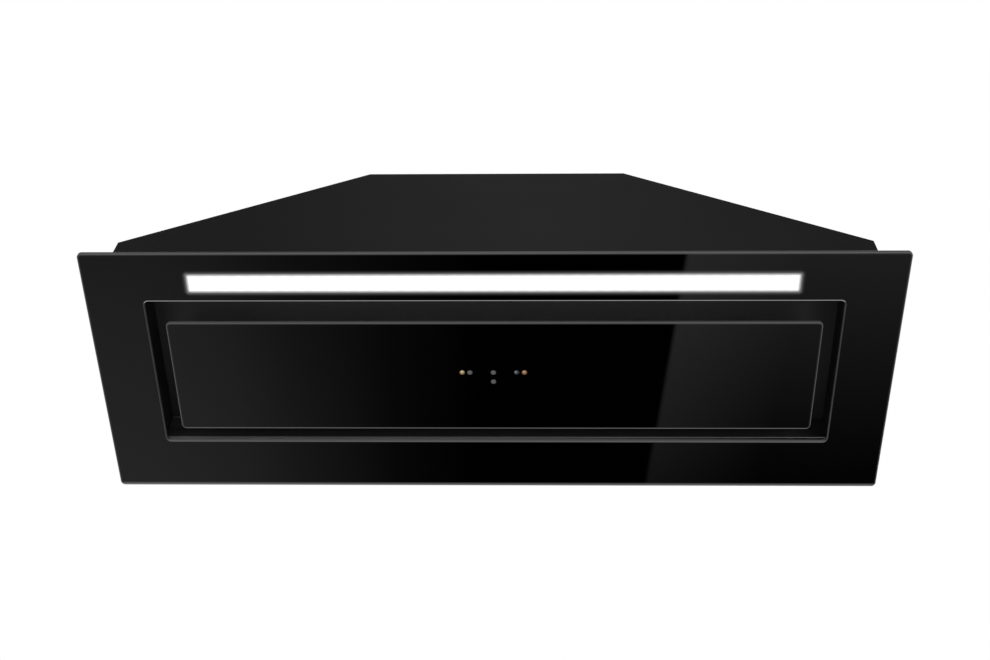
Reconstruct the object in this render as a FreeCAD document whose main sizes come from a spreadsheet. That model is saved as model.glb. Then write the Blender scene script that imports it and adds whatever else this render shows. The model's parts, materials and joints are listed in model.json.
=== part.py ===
import FreeCAD, Part
import math
import os
import Sketcher

# Built-in range hood with a black glass front, a hinged suction panel and a light bar.
# Frame: +Z up, +X to the right seen from the front, the front at -Y, lengths in millimetres.
# Origin: centre of the cabinet cut-out, in the plane of the mounting flange's top face.

Vector = FreeCAD.Vector

SIZES = {
    # Glass front
    "front_w": 860,
    "front_d": 301.5,
    "front_shift": 0.75,
    "glass_t": 5,
    "front_corner_r": 5,
    "glass_edge_r": 1.5,
    "side_border": 62,
    "rear_border": 63,
    "recess_corner_r": 5,
    # Light window in the glass
    "light_w": 639,
    "light_d": 22,
    "light_corner_r": 5,
    "light_clear": 0.2,
    # Metal behind the glass
    "flange_t": 1.2,
    "flange_inset": 10,
    "flange_corner_r": 4,
    "bond_t": 0.8,
    "bond_inset": 1,
    "sheet_t": 1,
    "recess_overhang": 6.5,
    "rear_trim_h": 3.5,
    "ceiling_h": 49,
    # Housing
    "housing_setback": 20.75,
    "housing_side_setback": 25,
    "skirt_h": 55.5,
    "housing_h": 225.5,
    "crown_w": 298,
    "lip_w": 12,
    # Screws
    "screw_r": 1.75,
    "screw_clear": 0.1,
    "screw_head_r": 3.5,
    "screw_head_h": 2,
    "screw_reach": 4,
    "socket_r": 1.2,
    "socket_h": 1.2,
    # Fixing brackets on the cabinet's bottom board
    "board_t": 18,
    "bracket_w": 32,
    "bracket_t": 2,
    "bracket_rise": 28,
    "bracket_reach": 21,
    "bracket_y": 85,
    "bracket_hole_r": 2.25,
    "bracket_hole_out": 13,
    "bracket_screw_rise": 18,
    "bracket_screw_step": 9,
    # Light bar
    "channel_wall": 1.2,
    "channel_h": 14,
    "channel_end": 6,
    "bay_gap": 1.7,
    "led_board_d": 12,
    "led_board_t": 1.6,
    "chip_w": 3.5,
    "chip_d": 2.8,
    "chip_h": 1,
    "chip_count": 40,
    "diffuser_rim": 0.4,
    "diffuser_rim_h": 2,
    # Fan wheel
    "wheel_r": 58,
    "wheel_w": 84,
    "wheel_disc_t": 2,
    "wheel_ring_w": 2,
    "blade_depth": 12,
    "blade_t": 1.2,
    "blade_sweep": 7,
    "blade_count": 32,
    "hub_r": 10,
    "hub_w": 18,
    # Fan housing
    "tongue_gap": 8,
    "volute_step": 10,
    "scroll_side_gap": 6,
    "scroll_wall": 2.5,
    "scroll_floor_gap": 2,
    "inlet_r": 50,
    "inlet_lip_t": 2.5,
    "inlet_lip_h": 4,
    "outlet_flange_w": 164,
    "outlet_flange_t": 3,
    "lug_r": 5,
    "lug_w": 8,
    "lug_out_share": 0.85,
    # Motor
    "motor_r": 36,
    "motor_l": 46,
    "motor_gap": 3,
    "shaft_r": 4,
    "shaft_clear": 0.05,
    "shaft_tail": 4,
    "bearing_r": 9,
    "bearing_w": 6,
    "sleeve_t": 3,
    "spider_wall": 3,
    "spider_w": 24,
    "spider_arm_w": 12,
    "spider_arm_t": 3,
    "spider_foot": 8,
    "spider_arm_count": 3,
    # Duct collar and flaps
    "collar_r": 75,
    "collar_wall": 2.5,
    "collar_h": 50,
    "collar_flange_t": 3,
    "collar_screw_inset": 7,
    "flap_seat_h": 14,
    "flap_seat_w": 3.5,
    "flap_relief_h": 3,
    "flap_t": 1.5,
    "flap_clear": 0.3,
    "flap_edge_clear": 1,
    "flap_split": 1.2,
    "flap_axis_y": 5,
    "flap_axis_rise": 3.2,
    "flap_knuckle_r": 2.6,
    "flap_pin_r": 1.8,
    "flap_pin_clear": 0.05,
    "flap_pin_bite": 1.5,
    # Junction box
    "box_gap": 3,
    "box_w": 58,
    "box_d": 150,
    "box_h": 34,
    "box_wall": 2,
    "lid_t": 2,
    "post_r": 4,
    "post_inset": 7,
    "rail_w": 4,
    "rail_h": 6,
    "control_board_t": 1.6,
    "control_board_clear": 1,
    "terminal_w": 24,
    "terminal_d": 16,
    "terminal_h": 14,
    "terminal_back": 8,
    "terminal_slot_r": 2.2,
    "terminal_count": 3,
    "capacitor_r": 10,
    "capacitor_l": 48,
    "capacitor_forward": 20,
    "gland_r": 8,
    "gland_bore_r": 4,
    "gland_nut_r": 11,
    "gland_nut_t": 5,
    "gland_out": 14,
    "gland_in": 4,
    "gland_h": 20,
    # Suction panel
    "slot_side": 21.5,
    "slot_front": 22,
    "plate_t": 5,
    "plate_drop": 7,
    "plate_corner_r": 5,
    "pan_inset": 10,
    "pan_t": 1,
    "pan_h": 9,
    # Gesture sensor
    "lens_r": 2.8,
    "lens_clear": 0.1,
    "lens_outer_x": 33.5,
    "lens_inner_x": 25.3,
    "lens_row": 5.9,
    "sensor_window_w": 84,
    "sensor_window_d": 26,
    "sensor_board_lap": 4,
    "sensor_board_t": 1.6,
    "sensor_cover_gap": 4,
    "sensor_cover_h": 10,
    "sensor_cover_wall": 1.5,
    # Panel hinge
    "hinge_inset": 6.5,
    "hinge_side_gap": 9,
    "hinge_plate_t": 2,
    "hinge_gap": 1.5,
    "hinge_eye_r": 7,
    "hinge_pin_r": 2.5,
    "hinge_pin_clear": 0.05,
    "pin_head_r": 4.5,
    "pin_head_t": 1.2,
    "hinge_foot": 14,
    "ear_d": 14,
    "ear_rim_clear": 1,
    # Panel catch
    "catch_side_gap": 5,
    "catch_forward": 24.5,
    "catch_w": 14,
    "catch_t": 1.5,
    "catch_gap": 0.3,
    "magnet_r": 6,
    "magnet_h": 6,
    # Grease filters
    "filter_end_bay": 58,
    "filter_middle_gap": 12,
    "filter_front_gap": 69,
    "filter_rear_gap": 19,
    "filter_t": 9,
    "filter_top_gap": 1.5,
    "filter_rail": 9,
    "filter_skin": 1,
    "filter_play": 0.2,
    "filter_opening_lap": 12,
    "mesh_sheet_t": 1,
    "mesh_cols_count": 24,
    "mesh_rows_count": 7,
    "mesh_slot_share": 0.7,
    "pull_w": 46,
    "pull_t": 4,
    "pull_drop": 9,
    "ledge_t": 1.2,
    "ledge_lap": 8,
    "ledge_gap": 0.2,
    "ledge_back": 3,
    "ledge_end": 6,
    "spring_w": 24,
    "spring_t": 0.8,
    "spring_gap": 0.5,
    "spring_foot": 12,
    # Cuts run past the faces by this much
    "overrun": 2,
}

# Places of the rear plate's screws along its sloping edges.
SLOPE_SCREW_SHARES = (0.2, 0.5, 0.8)
# Places of its screws along the half width of the crown.
CROWN_SCREW_SHARES = (-0.6, 0, 0.6)
# How far along Y and Z a point lies on a 45 degree line.
DIAGONAL_SHARE = math.sqrt(0.5)
SIDES = {"left": -1, "right": 1}

doc = FreeCAD.newDocument("range_hood")
sheet = doc.addObject("Spreadsheet::Sheet", "sizes")
for row, (alias, number) in enumerate(SIZES.items(), start=1):
    sheet.set(f"A{row}", alias)
    sheet.set(f"B{row}", str(number))
    sheet.setAlias(f"B{row}", alias)
doc.recompute()


class Length:
    """A value together with the sheet formula that gives it."""

    def __init__(self, value, formula):
        self.value = float(value)
        self.formula = formula

    def __float__(self):
        return self.value

    def __neg__(self):
        return 0 - self

    def __add__(self, other):
        return Length(self.value + float(other), f"({self.formula} + {formula_of(other)})")

    def __sub__(self, other):
        return Length(self.value - float(other), f"({self.formula} - {formula_of(other)})")

    def __mul__(self, other):
        return Length(self.value * float(other), f"({self.formula} * {formula_of(other)})")

    def __truediv__(self, other):
        return Length(self.value / float(other), f"({self.formula} / {formula_of(other)})")

    def __radd__(self, other):
        return as_length(other) + self

    def __rsub__(self, other):
        return as_length(other) - self

    def __rmul__(self, other):
        return as_length(other) * self


class SheetSizes:
    """Reads a sheet cell by its alias as a Length."""

    def __getattr__(self, alias):
        return Length(getattr(sheet, alias), f"sizes.{alias}")


size = SheetSizes()


def as_length(item):
    if isinstance(item, Length):
        return item
    return Length(item, f"({item})")


def formula_of(item):
    return as_length(item).formula


def root(length):
    return Length(math.sqrt(float(length)), f"sqrt({length.formula})")


def span(middle, width):
    """The low and high ends of a width laid about its middle."""
    return as_length(middle) - width / 2, as_length(middle) + width / 2


def grow(pair, by):
    """A low and high end moved outwards."""
    return pair[0] - by, pair[1] + by


def count_of(alias):
    return int(getattr(sheet, alias))


# Document helpers

subparts = []


def keep(label, item):
    """Name a finished sub-part and put it on the list that is written out."""
    item.Label = label
    subparts.append(item)


def bind(item, name, length):
    item.setExpression(name, formula_of(length))


def move(item, x, y, z):
    for name, length in (("x", x), ("y", y), ("z", z)):
        bind(item, f"Placement.Base.{name}", length)


def block(x, y, z):
    """A box from pairs of planes; a pair may come in either order."""
    item = doc.addObject("Part::Box", "Block")
    corner = []
    for name, pair in (("Length", x), ("Width", y), ("Height", z)):
        low, high = sorted(pair, key=float)
        bind(item, name, as_length(high) - low)
        corner.append(low)
    move(item, *corner)
    return item


AXIS_TURNS = {
    "x": FreeCAD.Rotation(Vector(0, 1, 0), 90),
    "y": FreeCAD.Rotation(Vector(1, 0, 0), -90),
    "z": FreeCAD.Rotation(),
}


def rod(axis, across, along, radius):
    """A cylinder along an axis: across holds its other two coordinates, along its two ends."""
    low, high = sorted(along, key=float)
    item = doc.addObject("Part::Cylinder", "Rod")
    item.Placement = FreeCAD.Placement(Vector(), AXIS_TURNS[axis])
    bind(item, "Radius", radius)
    bind(item, "Height", as_length(high) - low)
    first, second = across
    corners = {"x": (low, first, second), "y": (first, low, second), "z": (first, second, low)}
    move(item, *corners[axis])
    return item


def sector(quarter, across, along, radius):
    """A quarter cylinder along X; quarter 0 lies between down and rear, then on round by the top."""
    item = rod("x", across, along, radius)
    item.Angle = 90
    item.Placement.Rotation = AXIS_TURNS["x"].multiply(FreeCAD.Rotation(Vector(0, 0, 1), 90 * quarter))
    return item


def join(*items):
    if len(items) == 1:
        return items[0]
    item = doc.addObject("Part::MultiFuse", "Join")
    item.Shapes = list(items)
    item.Refine = True
    return item


def cut(base, *tools):
    item = doc.addObject("Part::Cut", "Cut")
    item.Base = base
    item.Tool = join(*tools)
    item.Refine = True
    return item


def common(base, tool):
    item = doc.addObject("Part::Common", "Common")
    item.Base = base
    item.Tool = tool
    return item


def cluster(items):
    """Several like solids that share one node."""
    item = doc.addObject("Part::Compound", "Cluster")
    item.Links = list(items)
    return item


# Sketch helpers

def new_sketch(body, role, offset=0):
    """A sketch on one of the body's own origin planes, moved along the plane's normal."""
    sketch = body.newObject("Sketcher::SketchObject", "Sketch")
    plane = next(item for item in body.Origin.OriginFeatures if item.Role == role)
    sketch.AttachmentSupport = [(plane, "")]
    sketch.MapMode = "FlatFace"
    bind(sketch, "AttachmentOffset.Base.z", offset)
    return sketch


def fix(sketch, kind, geometry, point, length):
    """Hold one sketch point at a distance from the sketch's origin."""
    index = sketch.addConstraint(Sketcher.Constraint(kind, -1, 1, geometry, point, float(length)))
    sketch.setExpression(f"Constraints[{index}]", formula_of(length))


def fix_radius(sketch, geometry, radius):
    index = sketch.addConstraint(Sketcher.Constraint("Radius", geometry, float(radius)))
    sketch.setExpression(f"Constraints[{index}]", formula_of(radius))


def draw_outline(sketch, points):
    """A closed outline of straight lines through points held from the origin."""
    corners = [Vector(float(x), float(y), 0) for x, y in points]
    lines = []
    for index, corner in enumerate(corners):
        following = corners[(index + 1) % len(corners)]
        lines.append(sketch.addGeometry(Part.LineSegment(corner, following), False))
    for index, line in enumerate(lines):
        following = lines[(index + 1) % len(lines)]
        sketch.addConstraint(Sketcher.Constraint("Coincident", line, 2, following, 1))
        fix(sketch, "DistanceX", line, 1, points[index][0])
        fix(sketch, "DistanceY", line, 1, points[index][1])


def draw_circle(sketch, x, y, radius):
    middle = Vector(float(x), float(y), 0)
    circle = sketch.addGeometry(Part.Circle(middle, Vector(0, 0, 1), float(radius)), False)
    fix(sketch, "DistanceX", circle, 3, x)
    fix(sketch, "DistanceY", circle, 3, y)
    fix_radius(sketch, circle, radius)


def draw_rectangle(sketch, x, y, radius=None):
    """A rectangle between two pairs of lines, with rounded corners where a radius is given."""
    if radius is None:
        draw_outline(sketch, [(x[0], y[0]), (x[1], y[0]), (x[1], y[1]), (x[0], y[1])])
        return
    left, right = (float(end) for end in x)
    low, high = (float(end) for end in y)
    curve = float(radius)
    quarter = math.pi / 2
    sides = (
        (Vector(left + curve, low, 0), Vector(right - curve, low, 0)),
        (Vector(right, low + curve, 0), Vector(right, high - curve, 0)),
        (Vector(right - curve, high, 0), Vector(left + curve, high, 0)),
        (Vector(left, high - curve, 0), Vector(left, low + curve, 0)),
    )
    middles = (
        Vector(right - curve, low + curve, 0),
        Vector(right - curve, high - curve, 0),
        Vector(left + curve, high - curve, 0),
        Vector(left + curve, low + curve, 0),
    )
    lines = [sketch.addGeometry(Part.LineSegment(*side), False) for side in sides]
    arcs = []
    for index, middle in enumerate(middles):
        circle = Part.Circle(middle, Vector(0, 0, 1), curve)
        start = (index - 1) * quarter
        arcs.append(sketch.addGeometry(Part.ArcOfCircle(circle, start, start + quarter), False))
    for index, arc in enumerate(arcs):
        following = lines[(index + 1) % len(lines)]
        sketch.addConstraint(Sketcher.Constraint("Tangent", lines[index], 2, arc, 1))
        sketch.addConstraint(Sketcher.Constraint("Tangent", arc, 2, following, 1))
        direction = "Horizontal" if index % 2 == 0 else "Vertical"
        sketch.addConstraint(Sketcher.Constraint(direction, lines[index]))
        fix_radius(sketch, arc, radius)
    fix(sketch, "DistanceY", lines[0], 1, y[0])
    fix(sketch, "DistanceX", lines[1], 1, x[1])
    fix(sketch, "DistanceY", lines[2], 1, y[1])
    fix(sketch, "DistanceX", lines[3], 1, x[0])


def pad(body, sketch, length, both_ways=False):
    feature = body.newObject("PartDesign::Pad", "Pad")
    feature.Profile = sketch
    bind(feature, "Length", length)
    feature.Midplane = both_ways
    return feature


def pocket(body, sketch, length):
    """A pocket that runs both ways from its sketch, checked to have cut something."""
    doc.recompute()
    before = body.Shape.Volume
    feature = body.newObject("PartDesign::Pocket", "Pocket")
    feature.Profile = sketch
    bind(feature, "Length", length)
    feature.Midplane = True
    doc.recompute()
    if body.Shape.Volume >= before:
        raise RuntimeError(f"a pocket of {body.Name} cut nothing")


def round_edges(body, wanted, radius):
    """A fillet on those edges of the body so far that the test picks."""
    doc.recompute()
    feature = body.Tip
    edges = enumerate(feature.Shape.Edges, start=1)
    names = [f"Edge{number}" for number, edge in edges if wanted(edge.BoundBox)]
    fillet = body.newObject("PartDesign::Fillet", "Fillet")
    fillet.Base = (feature, names)
    bind(fillet, "Radius", radius)


def level(box):
    """True where an edge with this bounding box lies flat."""
    return box.ZLength < Part.Precision.approximation()


def plate(z, outer, rectangles=(), circles=()):
    """A body with one flat plate, its outline and its holes drawn in one sketch."""
    body = doc.addObject("PartDesign::Body", "Plate")
    low, high = z
    sketch = new_sketch(body, "XY_Plane", low)
    draw_rectangle(sketch, *outer)
    for hole in rectangles:
        draw_rectangle(sketch, *hole)
    for hole in circles:
        draw_circle(sketch, *hole)
    pad(body, sketch, as_length(high) - low)
    return body


def screw(axis, across, seat, way, grip=2 * size.sheet_t):
    """A socket screw; seat is the face under its head, way is +1 where the head points up the axis."""
    head = seat + way * size.screw_head_h
    tip = seat - way * (grip + size.screw_reach)
    shank = rod(axis, across, (tip, seat), size.screw_r)
    cap = rod(axis, across, (seat, head), size.screw_head_r)
    socket = rod(axis, across, (head - way * size.socket_h, head + way * size.overrun), size.socket_r)
    return cut(join(shank, cap), socket)


def screw_hole(axis, across, seat, way):
    """The hole that a screw's shank passes through."""
    start = seat + way * size.overrun
    end = seat - way * (2 * size.sheet_t + size.screw_reach + size.overrun)
    return rod(axis, across, (start, end), size.screw_r + size.screw_clear)


# Planes and places that several pieces share

flange_low = -size.flange_t
glass_high = flange_low - size.bond_t
glass_low = glass_high - size.glass_t
front_x = span(0, size.front_w)
front_y = span(size.front_shift, size.front_d)
housing_x = grow(front_x, -size.housing_side_setback)
housing_y = span(0, size.front_d - 2 * size.housing_setback)
inner_y = grow(housing_y, -size.sheet_t)

# The light bar's bay lies between the housing's front wall and the recess.
channel_y_low = inner_y[0] + size.bay_gap
light_front = channel_y_low + size.channel_wall + size.light_clear + size.diffuser_rim
light_x = span(0, size.light_w)
light_y = (light_front, light_front + size.light_d)
light_middle = light_front + size.light_d / 2
channel_x = grow(light_x, size.channel_end)
channel_y = (channel_y_low, light_y[1] + size.diffuser_rim + size.light_clear + size.channel_wall)

# The recess starts behind the light bar's bay.
tray_front = channel_y[1] + size.bay_gap + size.sheet_t
recess_x = grow(front_x, -size.side_border)
recess_y = (tray_front + size.recess_overhang, front_y[1] - size.rear_border)
recess_middle = (recess_y[0] + recess_y[1]) / 2
tray_x = grow(recess_x, size.recess_overhang)
tray_y = grow(recess_y, size.recess_overhang)
tray_outer_x = grow(tray_x, size.sheet_t)
tray_outer_y = grow(tray_y, size.sheet_t)
ceiling = size.ceiling_h
ceiling_top = ceiling + size.sheet_t
crown = size.housing_h
crown_under = crown - size.sheet_t

# The suction panel hangs in the recess opening.
plate_x = grow(recess_x, -size.slot_side)
plate_y = grow(recess_y, -size.slot_front)
plate_low = glass_low - size.plate_drop
plate_high = plate_low + size.plate_t
pan_x = grow(plate_x, -size.pan_inset)
pan_y = grow(plate_y, -size.pan_inset)
pan_floor = plate_high + size.pan_t
pan_top = plate_high + size.pan_h

# One grease filter lies each side of the middle; these are the right-hand one's planes.
filter_x = (size.filter_middle_gap, tray_x[1] - size.filter_end_bay)
filter_y = (tray_y[0] + size.filter_front_gap, tray_y[1] - size.filter_rear_gap)
filter_high = ceiling - size.filter_top_gap
filter_low = filter_high - size.filter_t
filter_middle_x = (filter_x[0] + filter_x[1]) / 2
ledge_front = filter_y[1] - size.ledge_lap
ledge_high = filter_low - size.ledge_gap

# The panel's hinge axis lies over the pan's rear rim.
hinge_y = plate_y[1] - size.hinge_inset
hinge_z = pan_top + size.ear_rim_clear + size.hinge_eye_r
hinge_x = filter_x[1] + size.hinge_side_gap

# The fan's axis runs along X under the duct collar's front half.
volute_small_r = size.wheel_r + size.tongue_gap
volute_large_r = volute_small_r + 2 * size.volute_step
fan_y = -(size.volute_step + volute_large_r / 2)
fan_z = ceiling_top + size.scroll_floor_gap + size.scroll_wall + volute_small_r + size.volute_step
scroll_half = size.wheel_w / 2 + size.scroll_side_gap
scroll_outer = scroll_half + size.scroll_wall
outlet_y = (fan_y + size.volute_step, fan_y + size.volute_step + volute_large_r)
motor_x = (-(size.hub_w / 2 + size.motor_gap + size.motor_l), -(size.hub_w / 2 + size.motor_gap))


def mirror_pair(side, pair):
    """A pair of X planes on the right, or its mirror image on the left."""
    return side * pair[0], side * pair[1]


# Glass front and the metal behind it

def make_glass_frame():
    recess = (recess_x, recess_y, size.recess_corner_r)
    light = (light_x, light_y, size.light_corner_r)
    body = plate((glass_low, glass_high), (front_x, front_y, size.front_corner_r), rectangles=(recess, light))
    keep("glass_frame", body)

    def ground(box):
        in_front_border = float(front_y[0]) < box.YMin and box.YMax < float(recess_y[0])
        in_light_window = in_front_border and box.XMax <= float(light_x[1]) + float(size.light_clear)
        return level(box) and not (in_light_window and box.XMin >= float(light_x[0] - size.light_clear))

    round_edges(body, ground, size.glass_edge_r)


def make_glass_bond():
    outer = (grow(front_x, -(size.flange_inset + size.bond_inset)),
             grow(front_y, -(size.flange_inset + size.bond_inset)),
             size.flange_corner_r)
    recess = (grow(tray_outer_x, size.bond_inset), grow(tray_outer_y, size.bond_inset))
    light = (grow(light_x, size.bond_inset), grow(light_y, size.bond_inset))
    keep("glass_bond", plate((glass_high, flange_low), outer, rectangles=(recess, light)))


def make_mounting_flange():
    outer = (grow(front_x, -size.flange_inset), grow(front_y, -size.flange_inset), size.flange_corner_r)
    keep("mounting_flange", plate((flange_low, 0), outer, rectangles=((housing_x, housing_y),)))


def make_base_plate():
    recess = (tray_outer_x, tray_outer_y)
    light = (light_x, light_y, size.light_corner_r)
    keep("base_plate", plate((flange_low, 0), (housing_x, housing_y), rectangles=(recess, light)))


def make_recess_tray():
    outer = block(tray_outer_x, tray_outer_y, (flange_low, ceiling_top))
    hollow = block(tray_x, tray_y, (flange_low - size.overrun, ceiling))
    openings = []
    for side in SIDES.values():
        opening_x = mirror_pair(side, grow(filter_x, -size.filter_opening_lap))
        opening_y = grow(filter_y, -size.filter_opening_lap)
        openings.append(block(opening_x, opening_y, (ceiling - size.overrun, ceiling_top + size.overrun)))
    keep("recess_tray", cut(outer, hollow, *openings))


def make_rear_trim():
    """A strip that covers the joint between the glass and the tray along the opening's rear edge."""
    trim_y = (recess_y[1], tray_y[1])
    keep("rear_trim", block(tray_x, trim_y, (glass_high, glass_high + size.rear_trim_h)))


# Sheet housing

def housing_line(inset):
    """The right-hand foot, shoulder and crown corners of the housing's outline, moved inwards."""
    run = (housing_x[1] - housing_x[0] - size.crown_w) / 2
    rise = size.housing_h - size.skirt_h
    slope = root(run * run + rise * rise)
    foot = (housing_x[1] - inset, as_length(0))
    shoulder = (housing_x[1] - inset, size.skirt_h - inset * (slope - rise) / run)
    peak = (size.crown_w / 2 - inset * (slope - run) / rise, size.housing_h - inset)
    return [foot, shoulder, peak]


def mirrored(points):
    return [(-x, z) for x, z in points]


def rear_screw_places():
    """X and Z of each screw of the rear plate, along the middle of the lips."""
    foot, shoulder, peak = housing_line(size.lip_w / 2)
    right = [(foot[0], shoulder[1] / 2)]
    for share in SLOPE_SCREW_SHARES:
        x = shoulder[0] + (peak[0] - shoulder[0]) * share
        z = shoulder[1] + (peak[1] - shoulder[1]) * share
        right.append((x, z))
    crown_places = [(peak[0] * share, peak[1]) for share in CROWN_SCREW_SHARES]
    return right + mirrored(right) + crown_places


def rear_screw_holes():
    return [screw_hole("y", place, housing_y[1], 1) for place in rear_screw_places()]


def make_end_plates():
    outline = housing_line(0)
    points = outline + mirrored(outline)[::-1]
    for label, place in (("housing_front", housing_y[0]), ("housing_rear", inner_y[1])):
        body = doc.addObject("PartDesign::Body", "EndPlate")
        sketch = new_sketch(body, "XZ_Plane", -(place + size.sheet_t / 2))
        draw_outline(sketch, points)
        pad(body, sketch, size.sheet_t, both_ways=True)
        if label == "housing_rear":
            keep(label, cut(body, *rear_screw_holes()))
        else:
            keep(label, body)


def lipped_strip(outer, inner, lip):
    """A bent strip along the housing's outline with a lip turned in at its front and rear ends."""
    body = doc.addObject("PartDesign::Body", "Strip")
    depth = inner_y[1] - inner_y[0]
    sketch = new_sketch(body, "XZ_Plane")
    draw_outline(sketch, outer + lip[::-1])
    pad(body, sketch, depth, both_ways=True)
    hollow = new_sketch(body, "XZ_Plane")
    draw_outline(hollow, inner + lip[::-1])
    pocket(body, hollow, depth - 2 * size.sheet_t)
    return body


def bracket_places():
    """Side and Y of each fixing bracket."""
    return [(side, y) for side in SIDES.values() for y in (-size.bracket_y, size.bracket_y)]


def bracket_screw_places(y):
    z = size.board_t + size.bracket_screw_rise
    return [(y - size.bracket_screw_step, z), (y + size.bracket_screw_step, z)]


def bracket_screw_seat(side):
    return side * (housing_x[1] + size.bracket_t)


def make_housing_sides():
    lines = [housing_line(inset) for inset in (as_length(0), size.sheet_t, size.lip_w)]
    for label, side in SIDES.items():
        outer, inner, lip = lines if side > 0 else [mirrored(line) for line in lines]
        strip = lipped_strip(outer, inner, lip)
        holes = rear_screw_holes()
        for bracket_side, y in bracket_places():
            if bracket_side == side:
                seat = bracket_screw_seat(side)
                holes += [screw_hole("x", place, seat, side) for place in bracket_screw_places(y)]
        keep(f"housing_{label}", cut(strip, *holes))


def collar_screw_places():
    reach = size.outlet_flange_w / 2 - size.collar_screw_inset
    return [(x, y) for x in (-reach, reach) for y in (-reach, reach)]


def collar_screw_holes():
    seat = crown + size.collar_flange_t
    return [screw_hole("z", place, seat, 1) for place in collar_screw_places()]


def make_housing_top():
    peaks = [housing_line(inset)[2] for inset in (as_length(0), size.sheet_t, size.lip_w)]
    outer, inner, lip = ([peak] + mirrored([peak]) for peak in peaks)
    strip = lipped_strip(outer, inner, lip)
    outlet = block(span(0, 2 * scroll_half), outlet_y, (crown_under - size.overrun, crown + size.overrun))
    keep("housing_top", cut(strip, outlet, *collar_screw_holes(), *rear_screw_holes()))


def make_rear_screws():
    screws = [screw("y", place, housing_y[1], 1) for place in rear_screw_places()]
    keep("rear_screws", cluster(screws))


def make_fixing_brackets():
    brackets = []
    screws = []
    foot = (size.board_t, size.board_t + size.bracket_t)
    for side, y in bracket_places():
        seat = bracket_screw_seat(side)
        wide = span(y, size.bracket_w)
        outer = side * (housing_x[1] + size.bracket_reach)
        upright = block((side * housing_x[1], seat), wide, (size.board_t, size.board_t + size.bracket_rise))
        shelf = block((side * housing_x[1], outer), wide, foot)
        hole_x = side * (housing_x[1] + size.bracket_hole_out)
        hole = rod("z", (hole_x, y), grow(foot, size.overrun), size.bracket_hole_r)
        places = bracket_screw_places(y)
        screw_holes = [screw_hole("x", place, seat, side) for place in places]
        brackets.append(cut(join(upright, shelf), hole, *screw_holes))
        screws += [screw("x", place, seat, side) for place in places]
    keep("fixing_brackets", cluster(brackets))
    keep("bracket_screws", cluster(screws))


# Light bar

def make_light_bar():
    outer = block(channel_x, channel_y, (0, size.channel_h))
    roof = size.channel_h - size.channel_wall
    hollow_x = grow(channel_x, -size.channel_wall)
    hollow_y = grow(channel_y, -size.channel_wall)
    keep("led_channel", cut(outer, block(hollow_x, hollow_y, (-size.overrun, roof))))

    board_low = roof - size.led_board_t
    board_y = span(light_middle, size.led_board_d)
    keep("led_board", block(light_x, board_y, (board_low, roof)))

    chips = []
    chip_count = count_of("chip_count")
    for index in range(chip_count):
        middle = light_x[0] + size.light_w * ((index + 0.5) / chip_count)
        chip_y = span(light_middle, size.chip_d)
        chips.append(block(span(middle, size.chip_w), chip_y, (board_low - size.chip_h, board_low)))
    keep("led_chips", cluster(chips))

    plug_x = grow(light_x, -size.light_clear)
    plug_y = grow(light_y, -size.light_clear)
    plug_corner_r = size.light_corner_r - size.light_clear
    plug = plate((glass_low, size.diffuser_rim_h), (plug_x, plug_y, plug_corner_r))
    rim = block(grow(light_x, size.diffuser_rim), grow(light_y, size.diffuser_rim), (0, size.diffuser_rim_h))
    keep("led_diffuser", join(plug, rim))


# Fan housing, motor and wheel

def volute(along, wall):
    """The scroll's filled form along X, with every curve and face moved out by a wall."""
    step = size.volute_step
    filler_y = (fan_y, fan_y + step)
    duct_y = (outlet_y[0] - wall, outlet_y[1] + wall)
    return [
        sector(2, (fan_y, fan_z), along, volute_small_r + wall),
        sector(3, (fan_y + step, fan_z), along, volute_small_r + step + wall),
        sector(0, (fan_y + step, fan_z + step), along, volute_large_r + wall),
        block(along, filler_y, (fan_z, fan_z + volute_small_r + wall)),
        block(along, duct_y, (fan_z + step, crown_under)),
    ]


def lug_places():
    """Y and Z of the lugs that hold the two halves together."""
    out = size.scroll_wall + size.lug_r * size.lug_out_share
    upper = (volute_small_r + out) * DIAGONAL_SHARE
    lower = (volute_large_r + out) * DIAGONAL_SHARE
    return [
        (fan_y - upper, fan_z + upper),
        (fan_y + size.volute_step + lower, fan_z + size.volute_step - lower),
        (outlet_y[1] + out, fan_z + size.wheel_r),
    ]


def make_scroll():
    for label, side in SIDES.items():
        half = (as_length(0), side * scroll_outer)
        solid = volute(half, size.scroll_wall)
        flange_x = (as_length(0), side * size.outlet_flange_w / 2)
        flange_z = (crown_under - size.outlet_flange_t, crown_under)
        solid.append(block(flange_x, span(0, size.outlet_flange_w), flange_z))
        solid += [rod("x", place, (as_length(0), side * size.lug_w), size.lug_r) for place in lug_places()]
        along = (-side * size.overrun, side * scroll_half)
        hollow = volute(along, as_length(0))
        hollow.append(block(along, outlet_y, (fan_z + size.wheel_r, crown_under + size.overrun)))
        inlet_along = (side * (scroll_half - size.overrun), side * (scroll_outer + size.overrun))
        hollow.append(rod("x", (fan_y, fan_z), inlet_along, size.inlet_r))
        for place in lug_places():
            lug_along = (-side * size.overrun, side * (size.lug_w + size.overrun))
            hollow.append(rod("x", place, lug_along, size.screw_r + size.screw_clear))
        shell = cut(join(*solid), *hollow, *collar_screw_holes())
        lip_along = (side * (scroll_half - size.inlet_lip_h), side * scroll_half)
        lip_hole = (side * (scroll_half - size.inlet_lip_h - size.overrun), side * scroll_outer)
        lip = cut(
            rod("x", (fan_y, fan_z), lip_along, size.inlet_r + size.inlet_lip_t),
            rod("x", (fan_y, fan_z), lip_hole, size.inlet_r),
        )
        keep(f"scroll_{label}", join(shell, lip))
    screws = [screw("x", place, size.lug_w, 1, grip=size.lug_w) for place in lug_places()]
    keep("scroll_screws", cluster(screws))


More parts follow.
